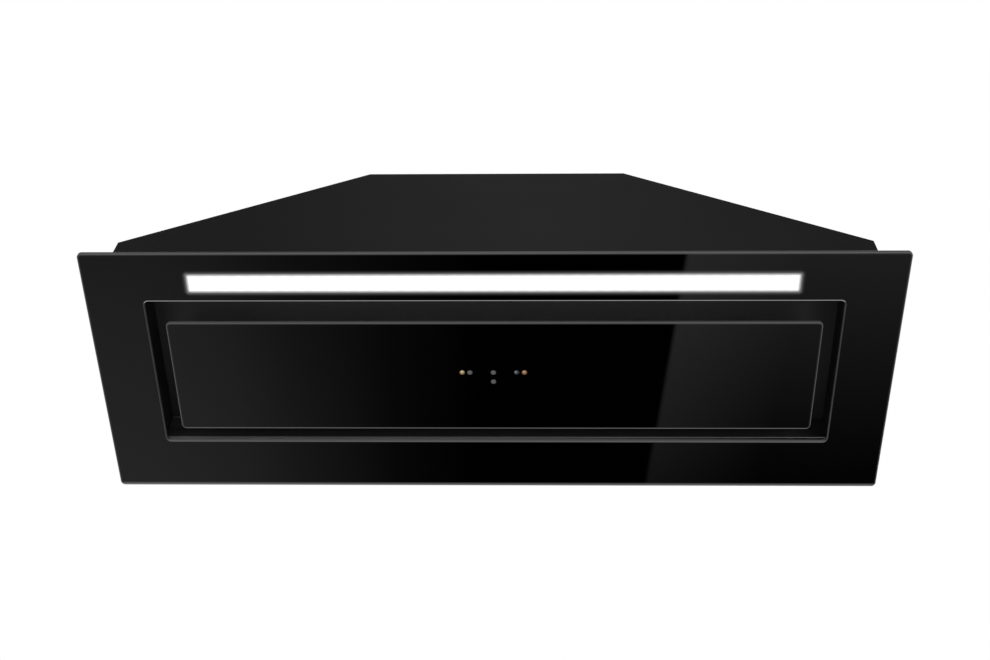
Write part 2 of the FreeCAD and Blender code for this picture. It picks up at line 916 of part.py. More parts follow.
def make_motor():
    axis = (fan_y, fan_z)
    bore_r = size.shaft_r + size.shaft_clear
    ends = [
        (motor_x[0], motor_x[0] + size.bearing_w),
        (motor_x[1] - size.bearing_w, motor_x[1]),
    ]
    body = rod("x", axis, motor_x, size.motor_r)
    bore = rod("x", axis, grow(motor_x, size.overrun), bore_r + size.screw_clear)
    pockets = [rod("x", axis, end, size.bearing_r) for end in ends]
    keep("motor_body", cut(body, bore, *pockets))

    bearings = []
    for end in ends:
        ring = rod("x", axis, end, size.bearing_r)
        bearings.append(cut(ring, rod("x", axis, grow(end, size.overrun), bore_r)))
    keep("motor_bearings", cluster(bearings))

    grip_x = (-scroll_outer, size.spider_w - scroll_outer)
    sleeve_r = size.motor_r + size.sleeve_t
    sleeve = rod("x", axis, grip_x, sleeve_r)
    keep("motor_sleeve", cut(sleeve, rod("x", axis, grow(grip_x, size.overrun), size.motor_r)))

    spider_x = (grip_x[0] - size.spider_arm_t, grip_x[1])
    tube = rod("x", axis, spider_x, sleeve_r + size.spider_wall)
    arms = []
    arm_reach = size.inlet_r + size.inlet_lip_t + size.spider_foot
    arm_count = count_of("spider_arm_count")
    for index in range(arm_count):
        turn = math.tau * index / arm_count
        arm_x = (spider_x[0], grip_x[0])
        arm = block(arm_x, span(0, size.spider_arm_w), (sleeve_r, arm_reach))
        arm.Placement.Rotation = FreeCAD.Rotation(Vector(1, 0, 0), math.degrees(turn))
        corner_y = fan_y - size.spider_arm_w / 2 * math.cos(turn) - sleeve_r * math.sin(turn)
        corner_z = fan_z - size.spider_arm_w / 2 * math.sin(turn) + sleeve_r * math.cos(turn)
        move(arm, arm_x[0], corner_y, corner_z)
        arms.append(arm)
    spider = cut(join(tube, *arms), rod("x", axis, grow(spider_x, size.overrun), sleeve_r))
    keep("motor_bracket", spider)

    keep("motor_shaft", rod("x", axis, (motor_x[0] - size.shaft_tail, size.hub_w / 2), size.shaft_r))


def make_impeller():
    body = doc.addObject("PartDesign::Body", "Wheel")
    inner_r = size.wheel_r - size.blade_depth

    disc = new_sketch(body, "YZ_Plane")
    draw_circle(disc, 0, 0, size.wheel_r)
    draw_circle(disc, 0, 0, size.shaft_r)
    pad(body, disc, size.wheel_disc_t, both_ways=True)

    hub = new_sketch(body, "YZ_Plane")
    draw_circle(hub, 0, 0, size.hub_r)
    draw_circle(hub, 0, 0, size.shaft_r)
    pad(body, hub, size.hub_w, both_ways=True)

    blade_tip = size.wheel_r - size.blade_t
    blade = new_sketch(body, "YZ_Plane")
    draw_outline(blade, [
        (inner_r, as_length(0)),
        (blade_tip, size.blade_sweep),
        (blade_tip, size.blade_sweep + size.blade_t),
        (inner_r, size.blade_t),
    ])
    blade_pad = pad(body, blade, size.wheel_w, both_ways=True)
    doc.recompute()
    pattern = body.newObject("PartDesign::PolarPattern", "Blades")
    pattern.Originals = [blade_pad]
    axis = next(item for item in body.Origin.OriginFeatures if item.Role == "X_Axis")
    pattern.Axis = (axis, [""])
    pattern.Angle = 360
    bind(pattern, "Occurrences", size.blade_count)
    body.Tip = pattern

    ring_middle = (size.wheel_w - size.wheel_ring_w) / 2
    for middle in (-ring_middle, ring_middle):
        ring = new_sketch(body, "YZ_Plane", middle)
        draw_circle(ring, 0, 0, size.wheel_r)
        draw_circle(ring, 0, 0, inner_r)
        pad(body, ring, size.wheel_ring_w, both_ways=True)
    move(body, 0, fan_y, fan_z)
    keep("impeller", body)


# Duct collar and its two flaps

flap_low = crown + size.flap_seat_h + size.flap_clear
flap_high = flap_low + size.flap_t
flap_axis_z = flap_low + size.flap_axis_rise
collar_bore_r = size.collar_r - size.collar_wall


def make_collar():
    square = span(0, size.outlet_flange_w)
    flange = block(square, square, (crown, crown + size.collar_flange_t))
    top = crown + size.collar_h
    tube = rod("z", (0, 0), (crown, top), size.collar_r)
    seat = crown + size.flap_seat_h
    lower = rod("z", (0, 0), (crown - size.overrun, seat + size.overrun), collar_bore_r - size.flap_seat_w)
    upper = rod("z", (0, 0), (seat, top + size.overrun), collar_bore_r)
    # The seat stops short of the pivots, where the flaps' inner edges dip as they open.
    relief_half = size.flap_axis_y + 2 * size.flap_axis_rise
    relief_z = (seat - size.flap_relief_h, seat)
    relief_box = block(span(0, 2 * size.collar_r), (-relief_half, relief_half), relief_z)
    relief = common(relief_box, rod("z", (0, 0), relief_z, collar_bore_r))
    pin_reach = collar_bore_r + size.flap_pin_bite + size.flap_edge_clear
    pin_r = size.flap_pin_r + size.flap_pin_clear
    pin_holes = []
    for y in (-size.flap_axis_y, size.flap_axis_y):
        pin_holes.append(rod("x", (y, flap_axis_z), (-pin_reach, pin_reach), pin_r))
    keep("outlet_collar", cut(join(flange, tube), lower, upper, relief, *pin_holes, *collar_screw_holes()))
    seat_z = crown + size.collar_flange_t
    keep("collar_screws", cluster(screw("z", place, seat_z, 1) for place in collar_screw_places()))


def make_flaps():
    flap_r = collar_bore_r - size.flap_edge_clear
    for label, way in (("flap_front", -1), ("flap_rear", 1)):
        disc = rod("z", (0, 0), (flap_low, flap_high), flap_r)
        half_y = (way * size.flap_split, way * size.collar_r)
        half = block(span(0, 2 * size.collar_r), half_y, grow((flap_low, flap_high), size.overrun))
        place = (way * size.flap_axis_y, flap_axis_z)
        knuckle_reach = flap_r - size.flap_seat_w - size.collar_wall
        knuckle = rod("x", place, (-knuckle_reach, knuckle_reach), size.flap_knuckle_r)
        pin_reach = collar_bore_r + size.flap_pin_bite
        pin = rod("x", place, (-pin_reach, pin_reach), size.flap_pin_r)
        keep(label, join(common(disc, half), knuckle, pin))


# Junction box on the crown

box_x_low = size.outlet_flange_w / 2 + size.box_gap
box_x = (box_x_low, box_x_low + size.box_w)
box_y = span(0, size.box_d)
box_inner_x = grow(box_x, -size.box_wall)
box_inner_y = grow(box_y, -size.box_wall)
box_middle_x = box_x_low + size.box_w / 2
box_floor = crown + size.box_wall
lid_low = crown + size.box_h
gland_z = crown + size.gland_h
board_low = box_floor + size.rail_h
board_high = board_low + size.control_board_t


def lid_screw_places():
    return [(x, y) for x in grow(box_x, -size.post_inset) for y in grow(box_y, -size.post_inset)]


def lid_screw_holes():
    return [screw_hole("z", place, lid_low + size.lid_t, 1) for place in lid_screw_places()]


def make_junction_box():
    outer = block(box_x, box_y, (crown, lid_low))
    hollow = block(box_inner_x, box_inner_y, (box_floor, lid_low + size.overrun))
    post_z = (crown, lid_low)
    posts = [rod("z", place, post_z, size.post_r) for place in lid_screw_places()]
    control_y = grow(box_inner_y, -(size.post_inset + size.post_r))
    rails = []
    for low in (box_inner_x[0], box_inner_x[1] - size.rail_w):
        rails.append(block((low, low + size.rail_w), control_y, (crown, board_low)))
    gland_hole_y = grow((box_inner_y[1], box_y[1]), size.overrun)
    gland_hole = rod("y", (box_middle_x, gland_z), gland_hole_y, size.gland_r)
    shell = cut(join(cut(outer, hollow), *posts, *rails), gland_hole, *lid_screw_holes())
    keep("junction_box", shell)

    lid = block(box_x, box_y, (lid_low, lid_low + size.lid_t))
    keep("junction_lid", cut(lid, *lid_screw_holes()))
    seat = lid_low + size.lid_t
    keep("lid_screws", cluster(screw("z", place, seat, 1) for place in lid_screw_places()))

    control_x = grow(box_inner_x, -size.control_board_clear)
    keep("control_board", block(control_x, control_y, (board_low, board_high)))

    terminal_y_high = control_y[1] - size.terminal_back
    terminal_y = (terminal_y_high - size.terminal_d, terminal_y_high)
    terminal_x = span(box_middle_x, size.terminal_w)
    terminal = block(terminal_x, terminal_y, (board_high, board_high + size.terminal_h))
    slots = []
    terminal_count = count_of("terminal_count")
    for index in range(terminal_count):
        x = terminal_x[0] + size.terminal_w * ((index + 0.5) / terminal_count)
        slot_y = (terminal_y[0] + size.terminal_slot_r, terminal_y[1] + size.overrun)
        slots.append(rod("y", (x, board_high + size.terminal_h / 2), slot_y, size.terminal_slot_r))
    keep("terminal_block", cut(terminal, *slots))

    capacitor_front = control_y[0] + size.capacitor_forward
    capacitor_y = (capacitor_front, capacitor_front + size.capacitor_l)
    capacitor_axis = (box_middle_x, board_high + size.capacitor_r)
    keep("run_capacitor", rod("y", capacitor_axis, capacitor_y, size.capacitor_r))

    gland_y = (box_inner_y[1] - size.gland_in, box_y[1] + size.gland_out)
    axis = (box_middle_x, gland_z)
    barrel = rod("y", axis, gland_y, size.gland_r)
    nut = rod("y", axis, (box_y[1], box_y[1] + size.gland_nut_t), size.gland_nut_r)
    bore = rod("y", axis, grow(gland_y, size.overrun), size.gland_bore_r)
    keep("cable_gland", cut(join(barrel, nut), bore))


# Suction panel with its gesture sensor

def lens_places():
    """X and Y of each lens by its colour; the front row is at the lower Y."""
    front = recess_middle - size.lens_row
    rear = recess_middle + size.lens_row
    return {
        "sensor_lenses": [(-size.lens_inner_x, front), (as_length(0), front), (as_length(0), rear)],
        "blue_lens": [(size.lens_inner_x, front)],
        "amber_lenses": [(-size.lens_outer_x, front), (size.lens_outer_x, front)],
    }


def make_panel():
    places = [place for group in lens_places().values() for place in group]
    holes = [(x, y, size.lens_r + size.lens_clear) for x, y in places]
    body = plate((plate_low, plate_high), (plate_x, plate_y, size.plate_corner_r), circles=holes)
    keep("panel_glass", body)
    window_x = span(0, size.sensor_window_w)
    window_y = span(recess_middle, size.sensor_window_d)

    def ground(box):
        in_window_x = box.XMin > float(window_x[0]) and box.XMax < float(window_x[1])
        return level(box) and not (in_window_x and box.YMax < float(window_y[1]))

    round_edges(body, ground, size.glass_edge_r)

    outer = block(pan_x, pan_y, (plate_high, pan_top))
    hollow = block(grow(pan_x, -size.pan_t), grow(pan_y, -size.pan_t), (pan_floor, pan_top + size.overrun))
    window = block(window_x, window_y, grow((plate_high, pan_floor), size.overrun))
    keep("panel_pan", cut(outer, hollow, window))

    for label, group in lens_places().items():
        lenses = [rod("z", place, (plate_low, pan_floor), size.lens_r) for place in group]
        keep(label, cluster(lenses))

    board_x = grow(window_x, size.sensor_board_lap)
    board_y = grow(window_y, size.sensor_board_lap)
    keep("sensor_board", block(board_x, board_y, (pan_floor, pan_floor + size.sensor_board_t)))

    cover_x = grow(board_x, size.sensor_cover_gap)
    cover_y = grow(board_y, size.sensor_cover_gap)
    cover_top = pan_floor + size.sensor_cover_h
    cover = block(cover_x, cover_y, (pan_floor, cover_top))
    inside_x = grow(cover_x, -size.sensor_cover_wall)
    inside_y = grow(cover_y, -size.sensor_cover_wall)
    inside_z = (pan_floor - size.overrun, cover_top - size.sensor_cover_wall)
    keep("sensor_cover", cut(cover, block(inside_x, inside_y, inside_z)))


def make_panel_hinge():
    brackets = []
    ears = []
    pins = []
    axis = (hinge_y, hinge_z)
    hole_r = size.hinge_pin_r + size.hinge_pin_clear
    deep = span(hinge_y, 2 * size.hinge_eye_r)
    ear_x = (hinge_x, hinge_x + size.hinge_plate_t)
    bracket_x_low = ear_x[1] + size.hinge_gap
    bracket_x = (bracket_x_low, bracket_x_low + size.hinge_plate_t)
    foot_x = (bracket_x[0], bracket_x[1] + size.hinge_foot)
    hole_x = grow((ear_x[0], bracket_x[1]), size.overrun)
    ear_rear = pan_y[1] - size.pan_t - size.hinge_pin_clear
    ear_y = (ear_rear - size.ear_d, ear_rear)
    arm_z = (pan_top + size.ear_rim_clear, hinge_z + size.hinge_eye_r)
    for side in SIDES.values():
        wall_x = mirror_pair(side, bracket_x)
        wall = block(wall_x, deep, (hinge_z, ceiling))
        eye = rod("x", axis, wall_x, size.hinge_eye_r)
        foot = block(mirror_pair(side, foot_x), deep, (ceiling - size.hinge_plate_t, ceiling))
        hole = rod("x", axis, mirror_pair(side, hole_x), hole_r)
        brackets.append(cut(join(wall, eye, foot), hole))

        own_x = mirror_pair(side, ear_x)
        root_block = block(own_x, ear_y, (pan_floor, arm_z[1]))
        arm = block(own_x, (ear_y[0], hinge_y), arm_z)
        knuckle = rod("x", axis, own_x, size.hinge_eye_r)
        ear_hole = rod("x", axis, mirror_pair(side, hole_x), hole_r)
        ears.append(cut(join(root_block, arm, knuckle), ear_hole))

        shank_x = mirror_pair(side, (ear_x[0], bracket_x[1]))
        shank = rod("x", axis, shank_x, size.hinge_pin_r)
        inner_head_x = (hinge_x - size.hinge_pin_clear - size.pin_head_t, hinge_x - size.hinge_pin_clear)
        neck_x = (hinge_x - size.hinge_pin_clear, hinge_x)
        inner_head = rod("x", axis, mirror_pair(side, inner_head_x), size.pin_head_r)
        neck = rod("x", axis, mirror_pair(side, neck_x), size.hinge_pin_r)
        outer_head_x = (bracket_x[1], bracket_x[1] + size.pin_head_t)
        outer_head = rod("x", axis, mirror_pair(side, outer_head_x), size.pin_head_r)
        pins.append(join(shank, inner_head, neck, outer_head))
    keep("hinge_brackets", cluster(brackets))
    keep("hinge_ears", cluster(ears))
    keep("hinge_pins", cluster(pins))


def make_panel_catch():
    brackets = []
    magnets = []
    strikers = []
    catch_x = filter_x[1] + size.catch_side_gap + size.catch_w / 2
    # The catch lies behind the pan's forward rim.
    catch_y = pan_y[0] + size.catch_forward
    magnet_low = pan_top + size.catch_gap
    magnet_high = magnet_low + size.magnet_h
    deep = span(catch_y, size.catch_w)
    upright_y = (deep[1] - size.catch_t, deep[1])
    foot_y = (upright_y[0], upright_y[1] + size.catch_w)
    for side in SIDES.values():
        wide = span(side * catch_x, size.catch_w)
        shelf = block(wide, deep, (magnet_high, magnet_high + size.catch_t))
        upright = block(wide, upright_y, (magnet_high, ceiling))
        foot = block(wide, foot_y, (ceiling - size.catch_t, ceiling))
        brackets.append(join(shelf, upright, foot))
        magnets.append(rod("z", (side * catch_x, catch_y), (magnet_low, magnet_high), size.magnet_r))
        top = block(wide, deep, (pan_top - size.catch_t, pan_top))
        legs = []
        for leg_x in ((wide[0], wide[0] + size.catch_t), (wide[1] - size.catch_t, wide[1])):
            legs.append(block(leg_x, deep, (pan_floor, pan_top)))
        strikers.append(join(top, *legs))
    keep("catch_brackets", cluster(brackets))
    keep("catch_magnets", cluster(magnets))
    keep("striker_plates", cluster(strikers))


# Grease filters

def mesh_sheet(side):
    """A flat net with slots in rows, drawn as one holed face and thickened."""
    pack_x = sorted(float(end) for end in mirror_pair(side, grow(filter_x, -size.filter_rail)))
    pack_y = [float(end) for end in grow(filter_y, -size.filter_rail)]
    hold = float(size.filter_rail - size.filter_skin - size.filter_play)
    low = float(filter_low + size.filter_skin + size.filter_play)
    cols = count_of("mesh_cols_count")
    rows = count_of("mesh_rows_count")
    pitch_x = (pack_x[1] - pack_x[0]) / cols
    pitch_y = (pack_y[1] - pack_y[0]) / rows
    slot_share = float(size.mesh_slot_share)

    def rectangle(x_low, y_low, width, depth):
        x_high = x_low + width
        y_high = y_low + depth
        corners = [(x_low, y_low), (x_high, y_low), (x_high, y_high), (x_low, y_high)]
        points = [Vector(x, y, low) for x, y in corners]
        return Part.makePolygon(points + points[:1])

    margin_share = (1 - slot_share) / 2
    outer_w = pack_x[1] - pack_x[0] + 2 * hold
    outer_d = pack_y[1] - pack_y[0] + 2 * hold
    wires = [rectangle(pack_x[0] - hold, pack_y[0] - hold, outer_w, outer_d)]
    for col in range(cols):
        for row_number in range(rows):
            x_low = pack_x[0] + (col + margin_share) * pitch_x
            y_low = pack_y[0] + (row_number + margin_share) * pitch_y
            wires.append(rectangle(x_low, y_low, pitch_x * slot_share, pitch_y * slot_share))
    item = doc.addObject("Part::Feature", "Mesh")
    face = Part.makeFace(wires, "Part::FaceMakerBullseye")
    item.Shape = face.extrude(Vector(0, 0, float(size.mesh_sheet_t)))
    item.Placement = FreeCAD.Placement()
    return item


def make_filters():
    ledges = []
    springs = []
    for label, side in SIDES.items():
        x = mirror_pair(side, filter_x)
        outer = block(x, filter_y, (filter_low, filter_high))
        inner_x = mirror_pair(side, grow(filter_x, -size.filter_skin))
        inner_depth = grow(filter_y, -size.filter_skin)
        hollow = block(inner_x, inner_depth, (filter_low + size.filter_skin, filter_high - size.filter_skin))
        window_x = mirror_pair(side, grow(filter_x, -size.filter_rail))
        window_y = grow(filter_y, -size.filter_rail)
        window = block(window_x, window_y, grow((filter_low, filter_high), size.overrun))
        keep(f"filter_frame_{label}", cut(outer, hollow, window))

        pack_inset = size.filter_skin + size.filter_play
        pack_low = filter_low + pack_inset + size.mesh_sheet_t
        pack_x = mirror_pair(side, grow(filter_x, -pack_inset))
        pack = block(pack_x, grow(filter_y, -pack_inset), (pack_low, filter_high - pack_inset))
        keep(f"filter_mesh_{label}", cluster([mesh_sheet(side), pack]))

        pull_x = span(side * filter_middle_x, size.pull_w)
        pull_y = (filter_y[0], filter_y[0] + size.pull_t)
        keep(f"filter_pull_{label}", block(pull_x, pull_y, (filter_low - size.pull_drop, filter_low)))

        ledge_x = mirror_pair(side, grow(filter_x, -size.ledge_end))
        ledge_rear = filter_y[1] + size.ledge_back
        ledge_low = ledge_high - size.ledge_t
        shelf = block(ledge_x, (ledge_front, ledge_rear), (ledge_low, ledge_high))
        web = block(ledge_x, (ledge_rear - size.ledge_t, ledge_rear), (ledge_low, ceiling))
        foot_y = (ledge_rear - size.ledge_t, ledge_rear + size.ledge_lap)
        foot = block(ledge_x, foot_y, (ceiling - size.ledge_t, ceiling))
        ledges.append(join(shelf, web, foot))

        spring_x = span(side * filter_middle_x, size.spring_w)
        leaf_rear = filter_y[0] - size.spring_gap
        leaf_y = (leaf_rear - size.spring_t, leaf_rear)
        leaf = block(spring_x, leaf_y, (filter_low + size.filter_t / 2, ceiling))
        clip_y = (leaf_y[0], leaf_y[1] + size.spring_foot)
        clip = block(spring_x, clip_y, (ceiling - size.spring_t, ceiling))
        springs.append(join(leaf, clip))
    keep("filter_ledges", cluster(ledges))
    keep("filter_catches", cluster(springs))


make_glass_frame()
make_glass_bond()
make_mounting_flange()
make_base_plate()
make_recess_tray()
make_rear_trim()
make_end_plates()
make_housing_sides()
make_housing_top()
make_rear_screws()
make_fixing_brackets()
make_light_bar()
make_scroll()
make_motor()
make_impeller()
make_collar()
make_flaps()
make_junction_box()
make_panel()
make_panel_hinge()
make_panel_catch()
make_filters()
doc.recompute()

for item in doc.Objects:
    if "Invalid" in item.State or "Error" in item.State:
        raise RuntimeError(f"{item.Label} failed: {item.State}")
for item in subparts:
    if item.Shape.isNull() or not item.Shape.isValid() or not item.Shape.Solids:
        raise RuntimeError(f"{item.Label} has no valid solid")

os.makedirs("parts", exist_ok=True)
for item in subparts:
    item.Shape.exportStep(f"parts/{item.Label}.step")
print(f"{len(subparts)} sub-parts written")
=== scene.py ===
import json
import math
from collections import namedtuple

import bmesh
import bpy
from mathutils import Matrix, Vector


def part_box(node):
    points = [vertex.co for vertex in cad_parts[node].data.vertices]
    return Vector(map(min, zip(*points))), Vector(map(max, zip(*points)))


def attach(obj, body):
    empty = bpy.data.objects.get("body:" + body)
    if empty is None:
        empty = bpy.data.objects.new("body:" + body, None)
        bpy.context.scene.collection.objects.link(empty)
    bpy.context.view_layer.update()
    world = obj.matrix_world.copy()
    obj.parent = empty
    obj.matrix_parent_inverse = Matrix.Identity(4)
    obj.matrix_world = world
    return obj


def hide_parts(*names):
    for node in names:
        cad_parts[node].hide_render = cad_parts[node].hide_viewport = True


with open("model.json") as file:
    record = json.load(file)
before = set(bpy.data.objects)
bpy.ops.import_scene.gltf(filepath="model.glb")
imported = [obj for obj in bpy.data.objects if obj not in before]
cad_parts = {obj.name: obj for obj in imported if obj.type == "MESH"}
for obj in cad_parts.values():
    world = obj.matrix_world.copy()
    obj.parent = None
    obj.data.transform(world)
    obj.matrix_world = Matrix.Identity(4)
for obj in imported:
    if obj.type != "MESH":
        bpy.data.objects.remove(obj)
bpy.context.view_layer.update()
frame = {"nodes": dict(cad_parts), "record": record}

# Camera, placed by fitting the glass front, the recess and the panel to the photograph
CAMERA_PLACE = (0.0410, -0.8226, -1.2477)
CAMERA_RISE = math.radians(58.302)
CAMERA_YAW = math.radians(2.892)
CAMERA_ROLL = math.radians(2.425)
CAMERA_CLIP = 0.01
LENS_MM = 50
SENSOR_MM = 36


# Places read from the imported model

Rim = namedtuple("Rim", "low_x low_y high_x high_y corner_r")


def rim_of(node, grow_x, grow_y, corner_r):
    """A rounded rectangle in the XY plane: a node's outline, grown along X and Y."""
    low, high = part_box(node)
    return Rim(low.x - grow_x, low.y - grow_y, high.x + grow_x, high.y + grow_y, corner_r)


# Rims of the front glass, of the panel, and of the opening, which leaves a slot round the panel
GLASS_CORNER_R = 0.005
SLOT_SIDE = 0.0215
SLOT_FRONT = 0.022
FRONT_RIM = rim_of("glass_frame", 0.0, 0.0, GLASS_CORNER_R)
OPENING_RIM = rim_of("panel_glass", SLOT_SIDE, SLOT_FRONT, GLASS_CORNER_R)
PANEL_RIM = rim_of("panel_glass", 0.0, 0.0, GLASS_CORNER_R)

# The light shows inside the diffuser's hidden rim. Its glow keeps sharper corners than its window.
DIFFUSER_RIM = 0.0006
GLOW_CORNER_R = 0.0015
LIGHT_RIM = rim_of("led_diffuser", -DIFFUSER_RIM, -DIFFUSER_RIM, GLOW_CORNER_R)
LIGHT_MIDDLE_X = (LIGHT_RIM.low_x + LIGHT_RIM.high_x) / 2
LIGHT_MIDDLE_Y = (LIGHT_RIM.low_y + LIGHT_RIM.high_y) / 2
LIGHT_W = 0.639
CHIP_COUNT = 40
CHIP_PITCH = LIGHT_W / CHIP_COUNT

# Middles of the panel's lenses
amber_low, amber_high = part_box("amber_lenses")
blue_low, blue_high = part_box("blue_lens")
LENS_R = (amber_high.y - amber_low.y) / 2
LENS_FRONT_Y = (amber_low.y + amber_high.y) / 2
LENS_REAR_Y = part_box("sensor_lenses")[1].y - LENS_R
LENS_OUTER_X = amber_high.x - LENS_R
LENS_INNER_X = (blue_low.x + blue_high.x) / 2
GREY_LENSES = ((-LENS_INNER_X, LENS_FRONT_Y), (0.0, LENS_FRONT_Y), (0.0, LENS_REAR_Y))
BLUE_LENSES = ((LENS_INNER_X, LENS_FRONT_Y),)
AMBER_LENSES = ((-LENS_OUTER_X, LENS_FRONT_Y), (LENS_OUTER_X, LENS_FRONT_Y))


# Node helpers

WHITE = (1.0, 1.0, 1.0, 1.0)
EVEN = (1.0, 1.0, 1.0)
NOISE_ROUGHNESS = 0.55
BEVEL_SAMPLES = 4

# Noise values over which tones and gloss are spread
NOISE_SPAN = (0.3, 0.7)
GLOSS_SPAN = (0.25, 0.75)

# How far a rounded normal agrees with the true one on flat ground and at an edge
EDGE_AGREEMENT = (0.995, 0.88)


def grey(tone):
    return (tone, tone, tone)


def add(tree, kind, **settings):
    """A node with its properties set; names that match an input socket set that socket."""
    node = tree.nodes.new(kind)
    for name, value in settings.items():
        label = name.replace("_", " ")
        if label in node.inputs:
            node.inputs[label].default_value = value
        else:
            setattr(node, name, value)
    return node


def math_node(tree, operation, first, second=None):
    """A math node fed by sockets or plain numbers; returns its output."""
    node = tree.nodes.new("ShaderNodeMath")
    node.operation = operation
    for socket, value in zip(node.inputs, (first, second)):
        if value is None:
            continue
        if isinstance(value, (int, float)):
            socket.default_value = value
        else:
            tree.links.new(value, socket)
    return node.outputs[0]


def hypotenuse(tree, first, second):
    squares = [math_node(tree, "MULTIPLY", value, value) for value in (first, second)]
    return math_node(tree, "SQRT", math_node(tree, "ADD", *squares))


def from_point(tree, place, x, y):
    """Distance in the XY plane of a surface point from a point."""
    across = math_node(tree, "SUBTRACT", place["X"], x)
    along = math_node(tree, "SUBTRACT", place["Y"], y)
    return hypotenuse(tree, across, along)


def map_range(tree, value, low, high, to_low, to_high, smooth=False):
    node = tree.nodes.new("ShaderNodeMapRange")
    if smooth:
        node.interpolation_type = "SMOOTHSTEP"
    for name, number in (("From Min", low), ("From Max", high), ("To Min", to_low), ("To Max", to_high)):
        node.inputs[name].default_value = number
    tree.links.new(value, node.inputs["Value"])
    return node.outputs["Result"]


def ramp(tree, value, stops):
    """A colour ramp with stops given as (place, colour)."""
    node = tree.nodes.new("ShaderNodeValToRGB")
    elements = node.color_ramp.elements
    while len(elements) < len(stops):
        elements.new(0.5)
    for element, (place, colour) in zip(elements, stops):
        element.position = place
        element.color = (*colour, 1.0)
    tree.links.new(value, node.inputs["Fac"])
    return node.outputs["Color"]


def grey_ramp(tree, value, stops):
    """A ramp of greys with stops given as (place, tone)."""
    return ramp(tree, value, [(place, grey(tone)) for place, tone in stops])


def two_tone(tree, value, dark, light):
    """Two colours that a noise blends between."""
    low, high = NOISE_SPAN
    return ramp(tree, value, ((low, dark), (high, light)))


def mix_colour(tree, factor, first, second):
    node = tree.nodes.new("ShaderNodeMix")
    node.data_type = "RGBA"
    tree.links.new(factor, node.inputs["Factor"])
    for name, value in (("A", first), ("B", second)):
        socket = next(item for item in node.inputs if item.name == name and item.type == "RGBA")
        if isinstance(value, tuple):
            socket.default_value = (*value, 1.0)
        else:
            tree.links.new(value, socket)
    return next(item for item in node.outputs if item.type == "RGBA")


def new_material(name):
    material = bpy.data.materials.new(name)
    material.use_nodes = True
    tree = material.node_tree
    return material, tree, tree.nodes["Principled BSDF"]


def object_place(tree, stretch=EVEN):
    """The surface point in the object's own frame, stretched along its axes."""
    coordinates = tree.nodes.new("ShaderNodeTexCoord")
    mapping = add(tree, "ShaderNodeMapping", Scale=stretch)
    tree.links.new(coordinates.outputs["Object"], mapping.inputs["Vector"])
    return mapping.outputs["Vector"]


def place_axes(tree):
    """The surface point's X, Y and Z in the object's own frame."""
    separate = tree.nodes.new("ShaderNodeSeparateXYZ")
    tree.links.new(object_place(tree), separate.inputs[0])
    return separate.outputs


def normal_axes(tree):
    """The surface normal's X, Y and Z in the object's own frame."""
    coordinates = tree.nodes.new("ShaderNodeTexCoord")
    separate = tree.nodes.new("ShaderNodeSeparateXYZ")
    tree.links.new(coordinates.outputs["Normal"], separate.inputs[0])
    return separate.outputs


def noise(tree, scale, detail=4.0, stretch=EVEN):
    node = add(tree, "ShaderNodeTexNoise", Scale=scale, Detail=detail, Roughness=NOISE_ROUGHNESS)
    tree.links.new(object_place(tree, stretch), node.inputs["Vector"])
    return node.outputs["Fac"]


def rounded_normal(tree, radius):
    """The surface normal with edges shaded round."""
    node = add(tree, "ShaderNodeBevel", Radius=radius, samples=BEVEL_SAMPLES)
    return node.outputs["Normal"]


def bump(tree, principled, height, strength, distance, fold_r=None):
    """A bump from a height; where fold_r is given, edges are also shaded round with that radius."""
    node = add(tree, "ShaderNodeBump", Strength=strength, Distance=distance)
    tree.links.new(height, node.inputs["Height"])
    if fold_r is not None:
        tree.links.new(rounded_normal(tree, fold_r), node.inputs["Normal"])
    tree.links.new(node.outputs["Normal"], principled.inputs["Normal"])


def edge_mask(tree, radius):
    """1 along edges and 0 on flat ground, from how far a rounded normal leans from the true one."""
    geometry = tree.nodes.new("ShaderNodeNewGeometry")
    agreement = add(tree, "ShaderNodeVectorMath", operation="DOT_PRODUCT")
    tree.links.new(rounded_normal(tree, radius), agreement.inputs[0])
    tree.links.new(geometry.outputs["Normal"], agreement.inputs[1])
    return map_range(tree, agreement.outputs["Value"], *EDGE_AGREEMENT, 0.0, 1.0)


def past_rim(tree, rim):
    """How far a point lies outside a rounded rectangle in the XY plane; inside it is negative."""
    place = place_axes(tree)
    past = []
    for axis, low, high in (("X", rim.low_x, rim.high_x), ("Y", rim.low_y, rim.high_y)):
        offset = math_node(tree, "SUBTRACT", place[axis], (low + high) / 2)
        from_middle = math_node(tree, "ABSOLUTE", offset)
        past.append(math_node(tree, "SUBTRACT", from_middle, (high - low) / 2 - rim.corner_r))
    outside = hypotenuse(tree, *[math_node(tree, "MAXIMUM", value, 0.0) for value in past])
    inside = math_node(tree, "MINIMUM", math_node(tree, "MAXIMUM", *past), 0.0)
    return math_node(tree, "SUBTRACT", math_node(tree, "ADD", outside, inside), rim.corner_r)


# Plain surfaces

SCUFF_SCALE = 160.0
SCUFF_SPAN = (0.42, 0.62)
SCUFF_SHARES = (0.15, 1.0)
GRAIN_STRENGTH = 0.6


